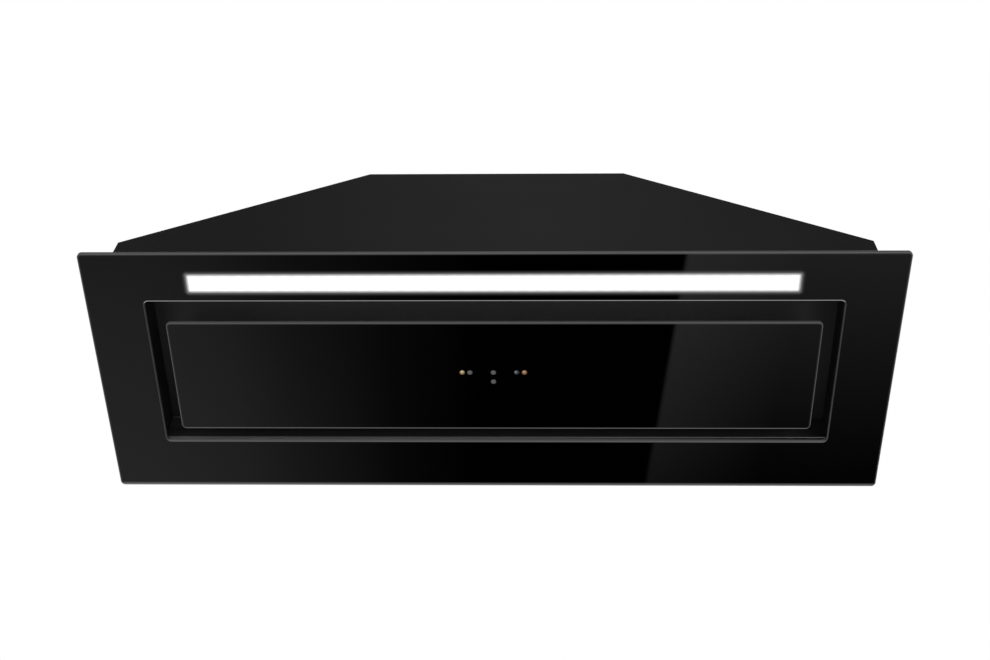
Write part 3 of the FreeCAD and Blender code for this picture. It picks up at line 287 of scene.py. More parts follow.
def mottled(name, dark, light, rough, scale, metallic=0.0, stretch=EVEN, grain=None, wear=None):
    """A two-tone surface with uneven gloss and, where given, a fine grain and paler worn edges.
    A grain is given as noise scale and depth, and wear as colour and radius."""
    material, tree, principled = new_material(name)
    principled.inputs["Metallic"].default_value = metallic
    clouds = noise(tree, scale, stretch=stretch)
    colour = two_tone(tree, clouds, dark, light)
    if wear is not None:
        worn_colour, worn_radius = wear
        scuffs = map_range(tree, noise(tree, SCUFF_SCALE, detail=6.0), *SCUFF_SPAN, *SCUFF_SHARES)
        worn = math_node(tree, "MULTIPLY", edge_mask(tree, worn_radius), scuffs)
        colour = mix_colour(tree, worn, colour, worn_colour)
    tree.links.new(colour, principled.inputs["Base Color"])
    tree.links.new(map_range(tree, clouds, *GLOSS_SPAN, *rough), principled.inputs["Roughness"])
    if grain is not None:
        grain_scale, grain_depth = grain
        pits = noise(tree, grain_scale, detail=2.0, stretch=stretch)
        bump(tree, principled, pits, GRAIN_STRENGTH, grain_depth)
    return material


# Grain of smooth, moulded and drawn surfaces
FINE_GRAIN = (1800.0, 0.00012)
MOULDED_GRAIN = (900.0, 0.0002)
DRAWN_GRAIN = (900.0, 0.0001)

METAL_LOOKS = {
    "screw_steel": dict(
        dark=(0.32, 0.32, 0.33), light=(0.5, 0.5, 0.51), rough=(0.25, 0.42), scale=300.0, metallic=1.0,
        grain=FINE_GRAIN, wear=((0.62, 0.62, 0.63), 0.0004)),
    "channel_aluminium": dict(
        dark=(0.52, 0.52, 0.53), light=(0.66, 0.66, 0.67), rough=(0.28, 0.42), scale=700.0, metallic=1.0,
        stretch=(0.02, 1.0, 1.0), grain=DRAWN_GRAIN),
    "motor_steel": dict(
        dark=(0.2, 0.21, 0.22), light=(0.28, 0.29, 0.3), rough=(0.35, 0.5), scale=90.0, metallic=0.6,
        stretch=(1.0, 0.25, 0.25), grain=FINE_GRAIN),
    "magnet": dict(
        dark=(0.55, 0.55, 0.54), light=(0.68, 0.68, 0.67), rough=(0.12, 0.25), scale=200.0, metallic=1.0),
    "filter_net": dict(
        dark=(0.54, 0.54, 0.545), light=(0.66, 0.66, 0.665), rough=(0.32, 0.46), scale=200.0, metallic=0.5,
        grain=FINE_GRAIN),
}
MOULDED_LOOKS = {
    "bond": dict(dark=grey(0.012), light=grey(0.02), rough=(0.6, 0.8), scale=60.0),
    "rubber": dict(dark=grey(0.012), light=grey(0.022), rough=(0.65, 0.85), scale=120.0),
    "diffuser_white": dict(
        dark=(0.68, 0.68, 0.66), light=(0.78, 0.78, 0.76), rough=(0.3, 0.45), scale=80.0),
    "fan_plastic": dict(
        dark=(0.022, 0.022, 0.024), light=(0.034, 0.034, 0.036), rough=(0.42, 0.58), scale=40.0,
        wear=((0.075, 0.075, 0.078), 0.0008)),
    "flap_plastic": dict(
        dark=(0.014, 0.014, 0.015), light=(0.022, 0.022, 0.023), rough=(0.38, 0.52), scale=50.0,
        wear=((0.05, 0.05, 0.052), 0.0006)),
}


def plain_surfaces():
    """The bare metals, and the moulded plastics and rubbers."""
    metals = {name: mottled(name, **look) for name, look in METAL_LOOKS.items()}
    moulded = {name: mottled(name, **look, grain=MOULDED_GRAIN) for name, look in MOULDED_LOOKS.items()}
    return {**metals, **moulded}


# Black glass

FRONT_IOR = 1.5
PANEL_IOR = 1.54

# How far up or down the normal points where the face turns into the arris, and the arris into the side
ARRIS_LEAN = (0.995, 0.93)
SIDE_LEAN = (0.35, 0.1)

SMEAR_SCALE = 9.0
SMEAR_STRETCH = (1.0, 2.2, 1.0)
SMEAR_SPAN = (0.3, 0.8)
FLECK_SCALE = 900.0
FACE_TONES = ((0.35, 0.0002), (0.75, 0.0005))
FACE_ROUGH = (0.012, 0.03)
ARRIS_TONES = ((0.045, 0.046, 0.047), (0.06, 0.061, 0.063))
SIDE_TONES = ((0.016, 0.0165, 0.017), (0.022, 0.0225, 0.023))
GROUND_ROUGH = 0.2

# Height over the glass's lower face at which the black enamel of its back shows at its edges
ENAMEL_FROM = 0.0036
ENAMEL_BLEND = 0.0006
ENAMEL_TONE = grey(0.001)

# Painted highlights: the glass, which holds no lamp, glows in a narrow band at its rims.
RIM_BAND = (0.0012, 0.0026)
OPENING_BAND = (0.0009, 0.0017)
REAR_BAND = (0.0, 0.0052)
REAR_GLOW = 0.2
SIDE_BLEND = 0.002

# Painted glow of a halo round the light, on the black glass
HALO_W = 0.0065
HALO_FALL = 4.0
HALO_GLOW = 0.2


def black_glass(name, node, ior):
    """Back-painted black glass: polished face, paler ground edges and faint smears.
    The last result is 1 where the glass is clear, where the painted glow of its rims may show, and 0 at the
    enamel."""
    material, tree, principled = new_material(name)
    up = math_node(tree, "ABSOLUTE", normal_axes(tree)["Z"])
    ground = map_range(tree, up, *ARRIS_LEAN, 0.0, 1.0, smooth=True)
    upright = map_range(tree, up, *SIDE_LEAN, 0.0, 1.0, smooth=True)
    smears = noise(tree, SMEAR_SCALE, detail=5.0, stretch=SMEAR_STRETCH)
    face = grey_ramp(tree, smears, FACE_TONES)
    flecks = noise(tree, FLECK_SCALE, detail=2.0)
    arris = two_tone(tree, flecks, *ARRIS_TONES)
    side = two_tone(tree, flecks, *SIDE_TONES)
    edge = mix_colour(tree, upright, arris, side)
    face_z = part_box(node)[0].z
    above_face = math_node(tree, "SUBTRACT", place_axes(tree)["Z"], face_z)
    enamel = map_range(tree, above_face, ENAMEL_FROM, ENAMEL_FROM + ENAMEL_BLEND, 0.0, 1.0)
    edge = mix_colour(tree, enamel, edge, ENAMEL_TONE)
    tree.links.new(mix_colour(tree, ground, face, edge), principled.inputs["Base Color"])
    face_rough = map_range(tree, smears, *SMEAR_SPAN, *FACE_ROUGH)
    ground_rough = math_node(tree, "MULTIPLY", ground, GROUND_ROUGH)
    tree.links.new(math_node(tree, "ADD", face_rough, ground_rough), principled.inputs["Roughness"])
    principled.inputs["IOR"].default_value = ior
    principled.inputs["Emission Color"].default_value = WHITE
    return material, tree, principled, math_node(tree, "SUBTRACT", 1.0, enamel)


def by_side(tree, rim, near, side, far):
    """A strength that differs along a rim's near edge, its sides and its far edge."""
    y = place_axes(tree)["Y"]
    from_near = map_range(tree, y, rim.low_y, rim.low_y + SIDE_BLEND, near - side, 0.0)
    from_far = map_range(tree, y, rim.high_y - SIDE_BLEND, rim.high_y, 0.0, far - side)
    return math_node(tree, "ADD", side, math_node(tree, "ADD", from_near, from_far))


def painted_rim_glow(tree, rim, near, side, far):
    """Painted glow in a band along the inner side of a rim, standing in for highlights on the glass's edges.
    """
    inward = math_node(tree, "MULTIPLY", past_rim(tree, rim), -1.0)
    at_rim = map_range(tree, inward, *RIM_BAND, 1.0, 0.0)
    return math_node(tree, "MULTIPLY", at_rim, by_side(tree, rim, near, side, far))


def front_glass():
    """The fixed glass, with painted highlights as glow along its rims, brightest at the opening's rim beside
    the lamp, and with a painted halo round the lamp.
    """
    material, tree, principled, clear = black_glass("front_glass", "glass_frame", FRONT_IOR)
    # Painted highlight along the opening's rim, strongest at its near edge beside the lamp
    at_opening = map_range(tree, past_rim(tree, OPENING_RIM), *OPENING_BAND, 1.0, 0.0)
    opening_painted_highlight = by_side(tree, OPENING_RIM, near=0.32, side=0.014, far=0.06)
    light = math_node(tree, "MULTIPLY", at_opening, opening_painted_highlight)
    # Painted highlights along the outer rim and, in a wider band, along the rear edge
    outer_rim_painted_glow = painted_rim_glow(tree, FRONT_RIM, near=0.045, side=0.035, far=0.0)
    from_rear = math_node(tree, "SUBTRACT", FRONT_RIM.high_y, place_axes(tree)["Y"])
    rear_rim_painted_glow = map_range(tree, from_rear, *REAR_BAND, REAR_GLOW, 0.0)
    # Painted halo: the black glass glows round the lamp's window
    spread = map_range(tree, past_rim(tree, LIGHT_RIM), 0.0, HALO_W, 1.0, 0.0)
    halo = math_node(tree, "MULTIPLY", math_node(tree, "POWER", spread, HALO_FALL), HALO_GLOW)
    for more in (outer_rim_painted_glow, rear_rim_painted_glow, halo):
        light = math_node(tree, "ADD", light, more)
    tree.links.new(math_node(tree, "MULTIPLY", light, clear), principled.inputs["Emission Strength"])
    return material


def panel_glass():
    """The hinged glass, with painted highlights as glow along its rims, brightest along its far edge."""
    material, tree, principled, clear = black_glass("black_glass", "panel_glass", PANEL_IOR)
    light = painted_rim_glow(tree, PANEL_RIM, near=0.04, side=0.025, far=0.15)
    tree.links.new(math_node(tree, "MULTIPLY", light, clear), principled.inputs["Emission Strength"])
    return material


# Painted sheet

CLOUD_SCALE = 5.0
PIMPLE_SCALE = 1500.0
PIMPLE_STRENGTH = 0.35
PIMPLE_DEPTH = 0.0002
SPECK_SPAN = (0.35, 0.7)
SPECK_SHARE = 0.35
SPECK_LIFT = 1.5

# Radius to which the folded sheet is shaded round, and over which its coat is thin
FOLD_R = 0.0014
THIN_R = 0.0007
THIN_SHARE = 0.5

# The normal's component at which a face of the tray counts as facing down or forward
FACING = (-0.9, -0.99)

# Painted light and shade on the tray's ceiling: tones from its front to its rear, along its middle and
# beside its side walls.
# Their middle lies a little to the left.
CEILING_Y = (-0.06, 0.07)
CEILING_SHIFT = 0.004
MIDDLE_TONES = ((0.0, 0.16), (0.2, 0.19), (0.4, 0.12), (1.0, 0.09))
MIDDLE_DIM_X = (0.22, 0.32)
MIDDLE_DIM = 0.4
WALL_TONES = ((0.0, 0.06), (0.2, 0.065), (0.4, 0.072), (0.6, 0.068), (1.0, 0.048))
WALL_BLEND_X = (0.342, 0.366)

# Painted shade on the tray's rear wall: tones from its foot to the seam at its top, with the panel's painted
# shadow partway up, and a painted dark right end
REAR_WALL_Z = (0.004, 0.049)
REAR_WALL_TONES = ((0.0, 0.11), (0.45, 0.05), (0.65, 0.1), (0.95, 0.1), (0.97, 0.4))
RIGHT_END_X = (0.338, 0.362)
RIGHT_END_SHARE = 0.8

HOUSING_LOOK = dict(
    dark=(0.0082, 0.0083, 0.0086), light=(0.01, 0.0101, 0.0105), rough=(0.5, 0.62), worn=(0.03, 0.03, 0.031),
    specular=0.35)
RECESS_LOOK = dict(
    dark=(0.026, 0.026, 0.027), light=(0.034, 0.034, 0.035), rough=(0.5, 0.62), worn=grey(0.06),
    specular=0.12)


def ceiling_painted_light_and_shade(tree):
    """Painted light and shade on the tray's ceiling: palest behind the lamp, deeper towards the rear and the
    side walls.
    """
    place = place_axes(tree)
    along = map_range(tree, place["Y"], *CEILING_Y, 0.0, 1.0)
    from_middle = math_node(tree, "ABSOLUTE", math_node(tree, "ADD", place["X"], CEILING_SHIFT))
    # Painted shade that darkens the middle tones towards the sides
    painted_side_shade = map_range(tree, from_middle, *MIDDLE_DIM_X, 0.0, MIDDLE_DIM)
    middle = mix_colour(tree, painted_side_shade, grey_ramp(tree, along, MIDDLE_TONES), grey(0.0))
    towards_wall = map_range(tree, from_middle, *WALL_BLEND_X, 0.0, 1.0, smooth=True)
    return mix_colour(tree, towards_wall, middle, grey_ramp(tree, along, WALL_TONES))


def rear_wall_painted_shade(tree, dark):
    """Painted shade on the tray's rear wall, with the panel's painted shadow partway up, darker towards its
    right end.
    """
    place = place_axes(tree)
    rise = map_range(tree, place["Z"], *REAR_WALL_Z, 0.0, 1.0)
    painted_shade_at_right_end = map_range(tree, place["X"], *RIGHT_END_X, 0.0, RIGHT_END_SHARE)
    return mix_colour(tree, painted_shade_at_right_end, grey_ramp(tree, rise, REAR_WALL_TONES), dark)


def tray_painted_light_and_shade(tree, colour, dark):
    """The tray's colour, with painted light and shade on its ceiling and its rear wall."""
    facing = normal_axes(tree)
    facing_down = map_range(tree, facing["Z"], *FACING, 0.0, 1.0)
    facing_front = map_range(tree, facing["Y"], *FACING, 0.0, 1.0)
    colour = mix_colour(tree, facing_down, colour, ceiling_painted_light_and_shade(tree))
    return mix_colour(tree, facing_front, colour, rear_wall_painted_shade(tree, dark))


def powder_coat(name, dark, light, rough, worn, specular, tray=False):
    """Fine-texture powder coat: tight pimples over slow tone changes, thin at the folds."""
    material, tree, principled = new_material(name)
    principled.inputs["Specular IOR Level"].default_value = specular
    clouds = noise(tree, CLOUD_SCALE, detail=3.0)
    pimples = noise(tree, PIMPLE_SCALE, detail=2.0)
    colour = two_tone(tree, clouds, dark, light)
    # On the tray, painted light and shade on its ceiling and rear wall
    if tray:
        colour = tray_painted_light_and_shade(tree, colour, dark)
    speck = map_range(tree, pimples, *SPECK_SPAN, 0.0, SPECK_SHARE)
    colour = mix_colour(tree, speck, colour, tuple(SPECK_LIFT * tone for tone in light))
    thin = math_node(tree, "MULTIPLY", edge_mask(tree, THIN_R), THIN_SHARE)
    tree.links.new(mix_colour(tree, thin, colour, worn), principled.inputs["Base Color"])
    tree.links.new(map_range(tree, pimples, *NOISE_SPAN, *rough), principled.inputs["Roughness"])
    bump(tree, principled, pimples, PIMPLE_STRENGTH, PIMPLE_DEPTH, fold_r=FOLD_R)
    return material


# Zinc sheet

SPANGLE_SCALE = 140.0
ZINC_DARK = (0.36, 0.37, 0.38)
ZINC_LIGHT = (0.56, 0.57, 0.58)
ZINC_ROUGH = (0.28, 0.46)


def zinc_sheet():
    """Galvanised sheet: angular spangles of differing tone and gloss."""
    material, tree, principled = new_material("zinc_sheet")
    principled.inputs["Metallic"].default_value = 1.0
    spangle = add(tree, "ShaderNodeTexVoronoi", Scale=SPANGLE_SCALE)
    tree.links.new(object_place(tree), spangle.inputs["Vector"])
    split = tree.nodes.new("ShaderNodeSeparateColor")
    tree.links.new(spangle.outputs["Color"], split.inputs["Color"])
    tone = split.outputs["Red"]
    colour = ramp(tree, tone, ((0.0, ZINC_DARK), (1.0, ZINC_LIGHT)))
    tree.links.new(colour, principled.inputs["Base Color"])
    tree.links.new(map_range(tree, tone, 0.0, 1.0, *ZINC_ROUGH), principled.inputs["Roughness"])
    bump(tree, principled, noise(tree, scale=400.0), strength=0.15, distance=0.0002)
    return material


# Circuit boards

BOARD_DARK = (0.012, 0.085, 0.035, 1.0)
BOARD_LIGHT = (0.016, 0.11, 0.045, 1.0)
TRACK_GREEN = (0.045, 0.19, 0.085, 1.0)
BOARD_ROUGH = (0.35, 0.22)


def circuit_board():
    """Green solder mask in two tones, with fine paler tracks between."""
    material, tree, principled = new_material("circuit_board")
    tracks = add(
        tree, "ShaderNodeTexBrick", Scale=90.0, Mortar_Size=0.05,
        Color1=BOARD_DARK, Color2=BOARD_LIGHT, Mortar=TRACK_GREEN)
    tree.links.new(object_place(tree), tracks.inputs["Vector"])
    tree.links.new(tracks.outputs["Color"], principled.inputs["Base Color"])
    gloss = map_range(tree, tracks.outputs["Fac"], 0.0, 1.0, *BOARD_ROUGH)
    tree.links.new(gloss, principled.inputs["Roughness"])
    bump(tree, principled, tracks.outputs["Fac"], strength=0.3, distance=0.0001)
    return material


# Light bar

CHIP_WHITE = (0.8, 0.8, 0.78)
CHIP_YELLOW = (0.82, 0.62, 0.12)
CHIP_ROUGH = (0.35, 0.55)
CHIP_DISC_R = (0.0010, 0.0012)
OPAL_TONES = ((0.16, 0.16, 0.165), grey(0.2))
OPAL_ROUGH = 0.4

# Light over a chip and midway between two, and the share of it that is left at the window's rim
CHIP_LIGHT = (1.12, 1.04)
LIGHT_RIM_W = 0.0036
LIGHT_RIM_SHARE = 0.22


def along_chips(tree):
    """Distance along X from the middle of the nearest light chip."""
    from_middle = math_node(tree, "SUBTRACT", place_axes(tree)["X"], LIGHT_MIDDLE_X)
    share = math_node(tree, "FRACT", math_node(tree, "DIVIDE", from_middle, CHIP_PITCH))
    from_chip = math_node(tree, "ABSOLUTE", math_node(tree, "SUBTRACT", share, 0.5))
    return math_node(tree, "MULTIPLY", from_chip, CHIP_PITCH)


def chip_phosphor():
    """White chip bodies with a yellow phosphor disc in each."""
    material, tree, principled = new_material("chip_yellow")
    across = math_node(tree, "SUBTRACT", place_axes(tree)["Y"], LIGHT_MIDDLE_Y)
    disc = map_range(tree, hypotenuse(tree, along_chips(tree), across), *CHIP_DISC_R, 1.0, 0.0)
    tree.links.new(mix_colour(tree, disc, CHIP_WHITE, CHIP_YELLOW), principled.inputs["Base Color"])
    tree.links.new(map_range(tree, disc, 0.0, 1.0, *CHIP_ROUGH), principled.inputs["Roughness"])
    return material


def opal_diffuser():
    """Opal acrylic lit from behind: a touch brighter over each chip, softer at its rim."""
    material, tree, principled = new_material("diffuser_lit")
    tree.links.new(two_tone(tree, noise(tree, scale=60.0), *OPAL_TONES), principled.inputs["Base Color"])
    principled.inputs["Roughness"].default_value = OPAL_ROUGH
    principled.inputs["Emission Color"].default_value = WHITE
    chip_light = map_range(tree, along_chips(tree), 0.0, CHIP_PITCH / 2, *CHIP_LIGHT, smooth=True)
    past = past_rim(tree, LIGHT_RIM)
    rim_light = map_range(tree, past, -LIGHT_RIM_W, 0.0, 1.0, LIGHT_RIM_SHARE, smooth=True)
    light = math_node(tree, "MULTIPLY", chip_light, rim_light)
    tree.links.new(light, principled.inputs["Emission Strength"])
    return material


# Filter frames

FILTER_METALLIC = 0.25
FILTER_TONES = ((0.27, 0.27, 0.272), (0.33, 0.33, 0.332))
FILTER_WORN = grey(0.45)
FILTER_WORN_R = 0.0006
FILTER_WORN_SHARE = 0.5
FILTER_ROUGH = (0.42, 0.6)


def filter_metal():
    """Grey anodised aluminium with drawing lines and paler worn edges."""
    material, tree, principled = new_material("filter_metal")
    principled.inputs["Metallic"].default_value = FILTER_METALLIC
    lines = add(tree, "ShaderNodeTexWave", Scale=260.0, Distortion=2.0)
    tree.links.new(object_place(tree), lines.inputs["Vector"])
    clouds = noise(tree, scale=30.0)
    colour = two_tone(tree, clouds, *FILTER_TONES)
    worn = math_node(tree, "MULTIPLY", edge_mask(tree, FILTER_WORN_R), FILTER_WORN_SHARE)
    tree.links.new(mix_colour(tree, worn, colour, FILTER_WORN), principled.inputs["Base Color"])
    tree.links.new(map_range(tree, clouds, *NOISE_SPAN, *FILTER_ROUGH), principled.inputs["Roughness"])
    bump(tree, principled, lines.outputs["Fac"], strength=0.25, distance=0.0003)
    return material


# Trim strip

TRIM_LOOK = dict(
    dark=(0.34, 0.34, 0.345), light=(0.42, 0.42, 0.425), rough=(0.4, 0.55), scale=500.0, metallic=0.3,
    stretch=(0.03, 1.0, 1.0), grain=DRAWN_GRAIN, wear=(grey(0.5), 0.0005))

# The dark seam at the strip's foot: its height, the blend over it, and its depth from X to X, which deepens
# to the right as painted shade.
# The strip grows paler along the same stretch, as painted light.
SEAM_H = 0.0018
SEAM_BLEND = 0.0003
SEAM_X = (-0.1, 0.33)
SEAM_DEPTHS = (0.1, 1.0)
SEAM_DARK = grey(0.002)
STRIP_PAINTED_LIGHT = grey(0.8)


def trim_strip():
    """A drawn grey strip with a dark seam at its foot; towards its right end, painted light makes the strip
    paler and painted shade deepens the seam.
    """
    material = mottled("trim_grey", **TRIM_LOOK)
    tree = material.node_tree
    base = tree.nodes["Principled BSDF"].inputs["Base Color"]
    place = place_axes(tree)
    seam_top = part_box("rear_trim")[0].z + SEAM_H
    at_foot = map_range(tree, place["Z"], seam_top, seam_top + SEAM_BLEND, 1.0, 0.0)
    # Painted light on the strip and painted shade in the seam, both growing to the right
    painted_light_and_shade_to_right = map_range(tree, place["X"], *SEAM_X, *SEAM_DEPTHS)
    strip = mix_colour(tree, painted_light_and_shade_to_right, base.links[0].from_socket, STRIP_PAINTED_LIGHT)
    seam = math_node(tree, "MULTIPLY", at_foot, painted_light_and_shade_to_right)
    tree.links.new(mix_colour(tree, seam, strip, SEAM_DARK), base)
    return material


# Sensor lenses

# Glow of the lenses in their own colour; the grey sensor lenses hold no lamp, so theirs is painted light
LENS_GLOW = 0.3
LENS_ROUGH = (0.18, 0.32)

# Shares of the radius between which a lens changes from its middle tone to its rim's, and how unevenly
LENS_STOPS = (0.3, 0.95)
LENS_UNEVEN = (-0.15, 0.15)

# The painted highlight leans from a lens's middle by a share of its radius along X and Y.
# On the right of the panel, the amber lens is tinted.
GREY_LOOK = dict(middle=(0.135, 0.135, 0.137), rim=(0.09, 0.09, 0.092), highlight_lean=(0.0, -0.2))
BLUE_LOOK = dict(middle=(0.19, 0.215, 0.215), rim=(0.012, 0.02, 0.026), highlight_lean=(-0.45, -0.35))
AMBER_LOOK = dict(
    middle=(0.66, 0.56, 0.38), rim=(0.21, 0.11, 0.03), highlight_lean=(-0.1, -0.35), right_tint=(0.8, 0.62, 0.6))


def lens(name, places, middle, rim, highlight_lean, right_tint=None):
    """Small moulded lenses whose tone changes from a painted highlight beside the middle to the rim, and
    which glow in the same colour.
    """
    material, tree, principled = new_material(name)
    place = place_axes(tree)
    # Painted highlights, leaning from each lens's middle
    highlight_spots = [(x + highlight_lean[0] * LENS_R, y + highlight_lean[1] * LENS_R) for x, y in places]
    away = from_point(tree, place, *highlight_spots[0])
    for other in highlight_spots[1:]:
        away = math_node(tree, "MINIMUM", away, from_point(tree, place, *other))
    share = math_node(tree, "DIVIDE", away, LENS_R)
    uneven = map_range(tree, noise(tree, scale=700.0, detail=3.0), *NOISE_SPAN, *LENS_UNEVEN)
    uneven_share = math_node(tree, "ADD", share, uneven)
    colour = ramp(tree, uneven_share, tuple(zip(LENS_STOPS, (middle, rim))))
    if right_tint is not None:
        tinted = [tuple(tone * tint for tone, tint in zip(end, right_tint)) for end in (middle, rim)]
        right_colour = ramp(tree, uneven_share, tuple(zip(LENS_STOPS, tinted)))
        on_right = math_node(tree, "GREATER_THAN", place["X"], 0.0)
        colour = mix_colour(tree, on_right, colour, right_colour)
    tree.links.new(colour, principled.inputs["Base Color"])
    tree.links.new(map_range(tree, share, 0.0, 1.0, *LENS_ROUGH), principled.inputs["Roughness"])
    tree.links.new(colour, principled.inputs["Emission Color"])
    principled.inputs["Emission Strength"].default_value = LENS_GLOW
    return material


# Dressing of the CAD nodes

# Nodes whose material differs from that of their record slot
OWN_MATERIALS = {"led_diffuser": "diffuser_lit", "glass_frame": "front_glass", "recess_tray": "tray_paint"}


def make_materials():
    return {
        **plain_surfaces(),
        "black_glass": panel_glass(),
        "front_glass": front_glass(),
        "housing_paint": powder_coat("housing_paint", **HOUSING_LOOK),
        "recess_paint": powder_coat("recess_paint", **RECESS_LOOK),
        "tray_paint": powder_coat("tray_paint", **RECESS_LOOK, tray=True),
        "zinc_sheet": zinc_sheet(),
        "circuit_board": circuit_board(),
        "chip_yellow": chip_phosphor(),
        "diffuser_lit": opal_diffuser(),
        "filter_metal": filter_metal(),
        "trim_grey": trim_strip(),
        "lens_grey": lens("lens_grey", GREY_LENSES, **GREY_LOOK),
        "lens_blue": lens("lens_blue", BLUE_LENSES, **BLUE_LOOK),
        "lens_amber": lens("lens_amber", AMBER_LENSES, **AMBER_LOOK),
    }


def dress_nodes(materials):
    for entry in frame["record"]["subparts"]:
        node = entry["node"]
        material = materials[OWN_MATERIALS.get(node, entry["material_slot"])]
        slots = frame["nodes"][node].data.materials
        slots.clear()
        slots.append(material)


# Grease filters

# The nets in each filter: height in the filter, cell width, cell depth
NET_LAYERS = ((0.0002, 0.012, 0.006), (0.0026, 0.010, 0.005))
STRAND_HALF_W = 0.00075
STRAND_TILT = 0.0005
STRAND_T = 0.0006
STRAND_LIFT = 0.0001


def net_strand(mesh, x_steps, y_of, z):
    """One zigzag strand of expanded metal: a tilted three-sided bar that is closed at both ends."""
    sections = []
    for number, x in enumerate(x_steps):
        y = y_of[number % 2]
        sections.append([
            mesh.verts.new((x, y - STRAND_HALF_W, z)),
            mesh.verts.new((x, y + STRAND_HALF_W, z + STRAND_TILT)),
            mesh.verts.new((x, y, z + STRAND_TILT + STRAND_T)),
        ])
    for start, end in zip(sections, sections[1:]):
        for corner in range(3):
            follows = (corner + 1) % 3
            mesh.faces.new((start[corner], end[corner], end[follows], start[follows]))
    mesh.faces.new(sections[0])
    mesh.faces.new(sections[-1])


def net_layer(mesh, low, high, height, cell_w, cell_d):
    """A net of zigzag strands that meet at their bends, inside a box."""
    step_x = cell_w / 2
    step_y = cell_d / 2
    cols = int((high.x - low.x) / step_x)
    rows = int((high.y - low.y - 2 * STRAND_HALF_W) / step_y)
    first_x = (low.x + high.x - cols * step_x) / 2
    first_y = (low.y + high.y - rows * step_y) / 2
    x_steps = [first_x + col * step_x for col in range(cols + 1)]
    for row in range(rows):
        ends = (first_y + row * step_y, first_y + (row + 1) * step_y)
        y_of = ends if row % 2 == 0 else ends[::-1]
        net_strand(mesh, x_steps, y_of, low.z + height + STRAND_LIFT * (row % 2))


def make_filter_net(side, material):
    """Expanded-metal nets in place of a filter's plain slotted sheet."""
    node = f"filter_mesh_{side}"
    low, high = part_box(node)
    mesh = bmesh.new()
    for height, cell_w, cell_d in NET_LAYERS:
        net_layer(mesh, low, high, height, cell_w, cell_d)
    bmesh.ops.recalc_face_normals(mesh, faces=mesh.faces)
    data = bpy.data.meshes.new(f"filter_net_{side}")
    mesh.to_mesh(data)
    mesh.free()
    data.materials.append(material)
    net = bpy.data.objects.new(f"filter_net_{side}", data)
    bpy.context.scene.collection.objects.link(net)
    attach(net, f"filter_{side}")
    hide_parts(node)


# Floor and background

FLOOR_Z = -2.4
FLOOR_SPAN = (-60.0, 60.0)
FLOOR_FADE = (2.5, 9.0)
FLOOR_LOOK = dict(dark=grey(0.76), light=grey(0.8), rough=(0.7, 0.85), scale=2.0, grain=(60.0, 0.001))
WORLD_FILL = 0.62


def plane(name, x, y, z):
    """A level stage piece, from X to X and from Y to Y."""
    corners = [(x[0], y[0], z), (x[1], y[0], z), (x[1], y[1], z), (x[0], y[1], z)]
    mesh = bpy.data.meshes.new(name)
    mesh.from_pydata(corners, [], [(0, 1, 2, 3)])
    item = bpy.data.objects.new(name, mesh)
    bpy.context.scene.collection.objects.link(item)
    return item


def seen_rays(tree):
    """1 for rays that show a surface to the camera, directly or by reflection, and 0 for the others."""
    path = tree.nodes.new("ShaderNodeLightPath")
    seen = math_node(tree, "MAXIMUM", path.outputs["Is Camera Ray"], path.outputs["Is Glossy Ray"])
    return math_node(tree, "MAXIMUM", seen, path.outputs["Is Transmission Ray"])


def mix_shaders(tree, factor, first, second, output):
    """Two shaders blended into a material's output."""
    mix = tree.nodes.new("ShaderNodeMixShader")
    for socket, value in zip(mix.inputs, (factor, first, second)):
        tree.links.new(value, socket)
    tree.links.new(mix.outputs["Shader"], output.inputs["Surface"])


def make_floor():
    """A pale floor that fades into the white background away from the object."""
    floor = plane("floor", FLOOR_SPAN, FLOOR_SPAN, FLOOR_Z)
    material = mottled("floor", **FLOOR_LOOK)
    floor.data.materials.append(material)
    tree = material.node_tree
    away = from_point(tree, place_axes(tree), 0.0, 0.0)
    faded = map_range(tree, away, *FLOOR_FADE, 0.0, 1.0, smooth=True)
    pale = tree.nodes["Principled BSDF"].outputs["BSDF"]
    white = tree.nodes.new("ShaderNodeEmission").outputs["Emission"]
    seen_fade = math_node(tree, "MULTIPLY", faded, seen_rays(tree))
    mix_shaders(tree, seen_fade, pale, white, tree.nodes["Material Output"])


def make_world():
    """A white background for the camera and for reflections, with a lower even fill on the object."""
    world = bpy.data.worlds.new("studio")
    bpy.context.scene.world = world
    world.use_nodes = True
    tree = world.node_tree
    background = tree.nodes["Background"]
    background.inputs["Color"].default_value = WHITE
    strength = map_range(tree, seen_rays(tree), 0.0, 1.0, WORLD_FILL, 1.0)
    tree.links.new(strength, background.inputs["Strength"])


# Flags that show in reflections alone

# The dark flag that the glass mirrors, with a soft glow on its left and a hard-edged one on its right
FLAG_X = (-2.2, 2.2)
FLAG_Y = (0.1, 2.6)
FLAG_Z = -1.70
GLASS_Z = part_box("glass_frame")[0].z
MIRROR_SHARE = (GLASS_Z - FLAG_Z) / (GLASS_Z - CAMERA_PLACE[2])

# Its glows, given where they show on the glass, from the glass's near edge to its far edge.
# The left one is given as X and tone at both edges.
GLOW_Y = (-0.150, 0.150)
LEFT_NEAR_GLOW = (
    (-0.433, 0.25), (-0.361, 0.245), (-0.306, 0.217), (-0.204, 0.088), (-0.101, 0.043), (0.0, 0.0))
LEFT_FAR_GLOW = (
    (-0.433, 0.39), (-0.38, 0.38), (-0.279, 0.29), (-0.223, 0.19), (-0.11, 0.043), (-0.022, 0.0))
LEFT_DEPTH_POWER = 0.55
RIGHT_EDGE_X = (0.198, 0.168)
RIGHT_EDGE_SOFT = 0.005
RIGHT_EDGE_TONES = (0.43, 0.12)
RIGHT_FALL_W = 0.129
RIGHT_LOSSES = (0.32, 0.85)

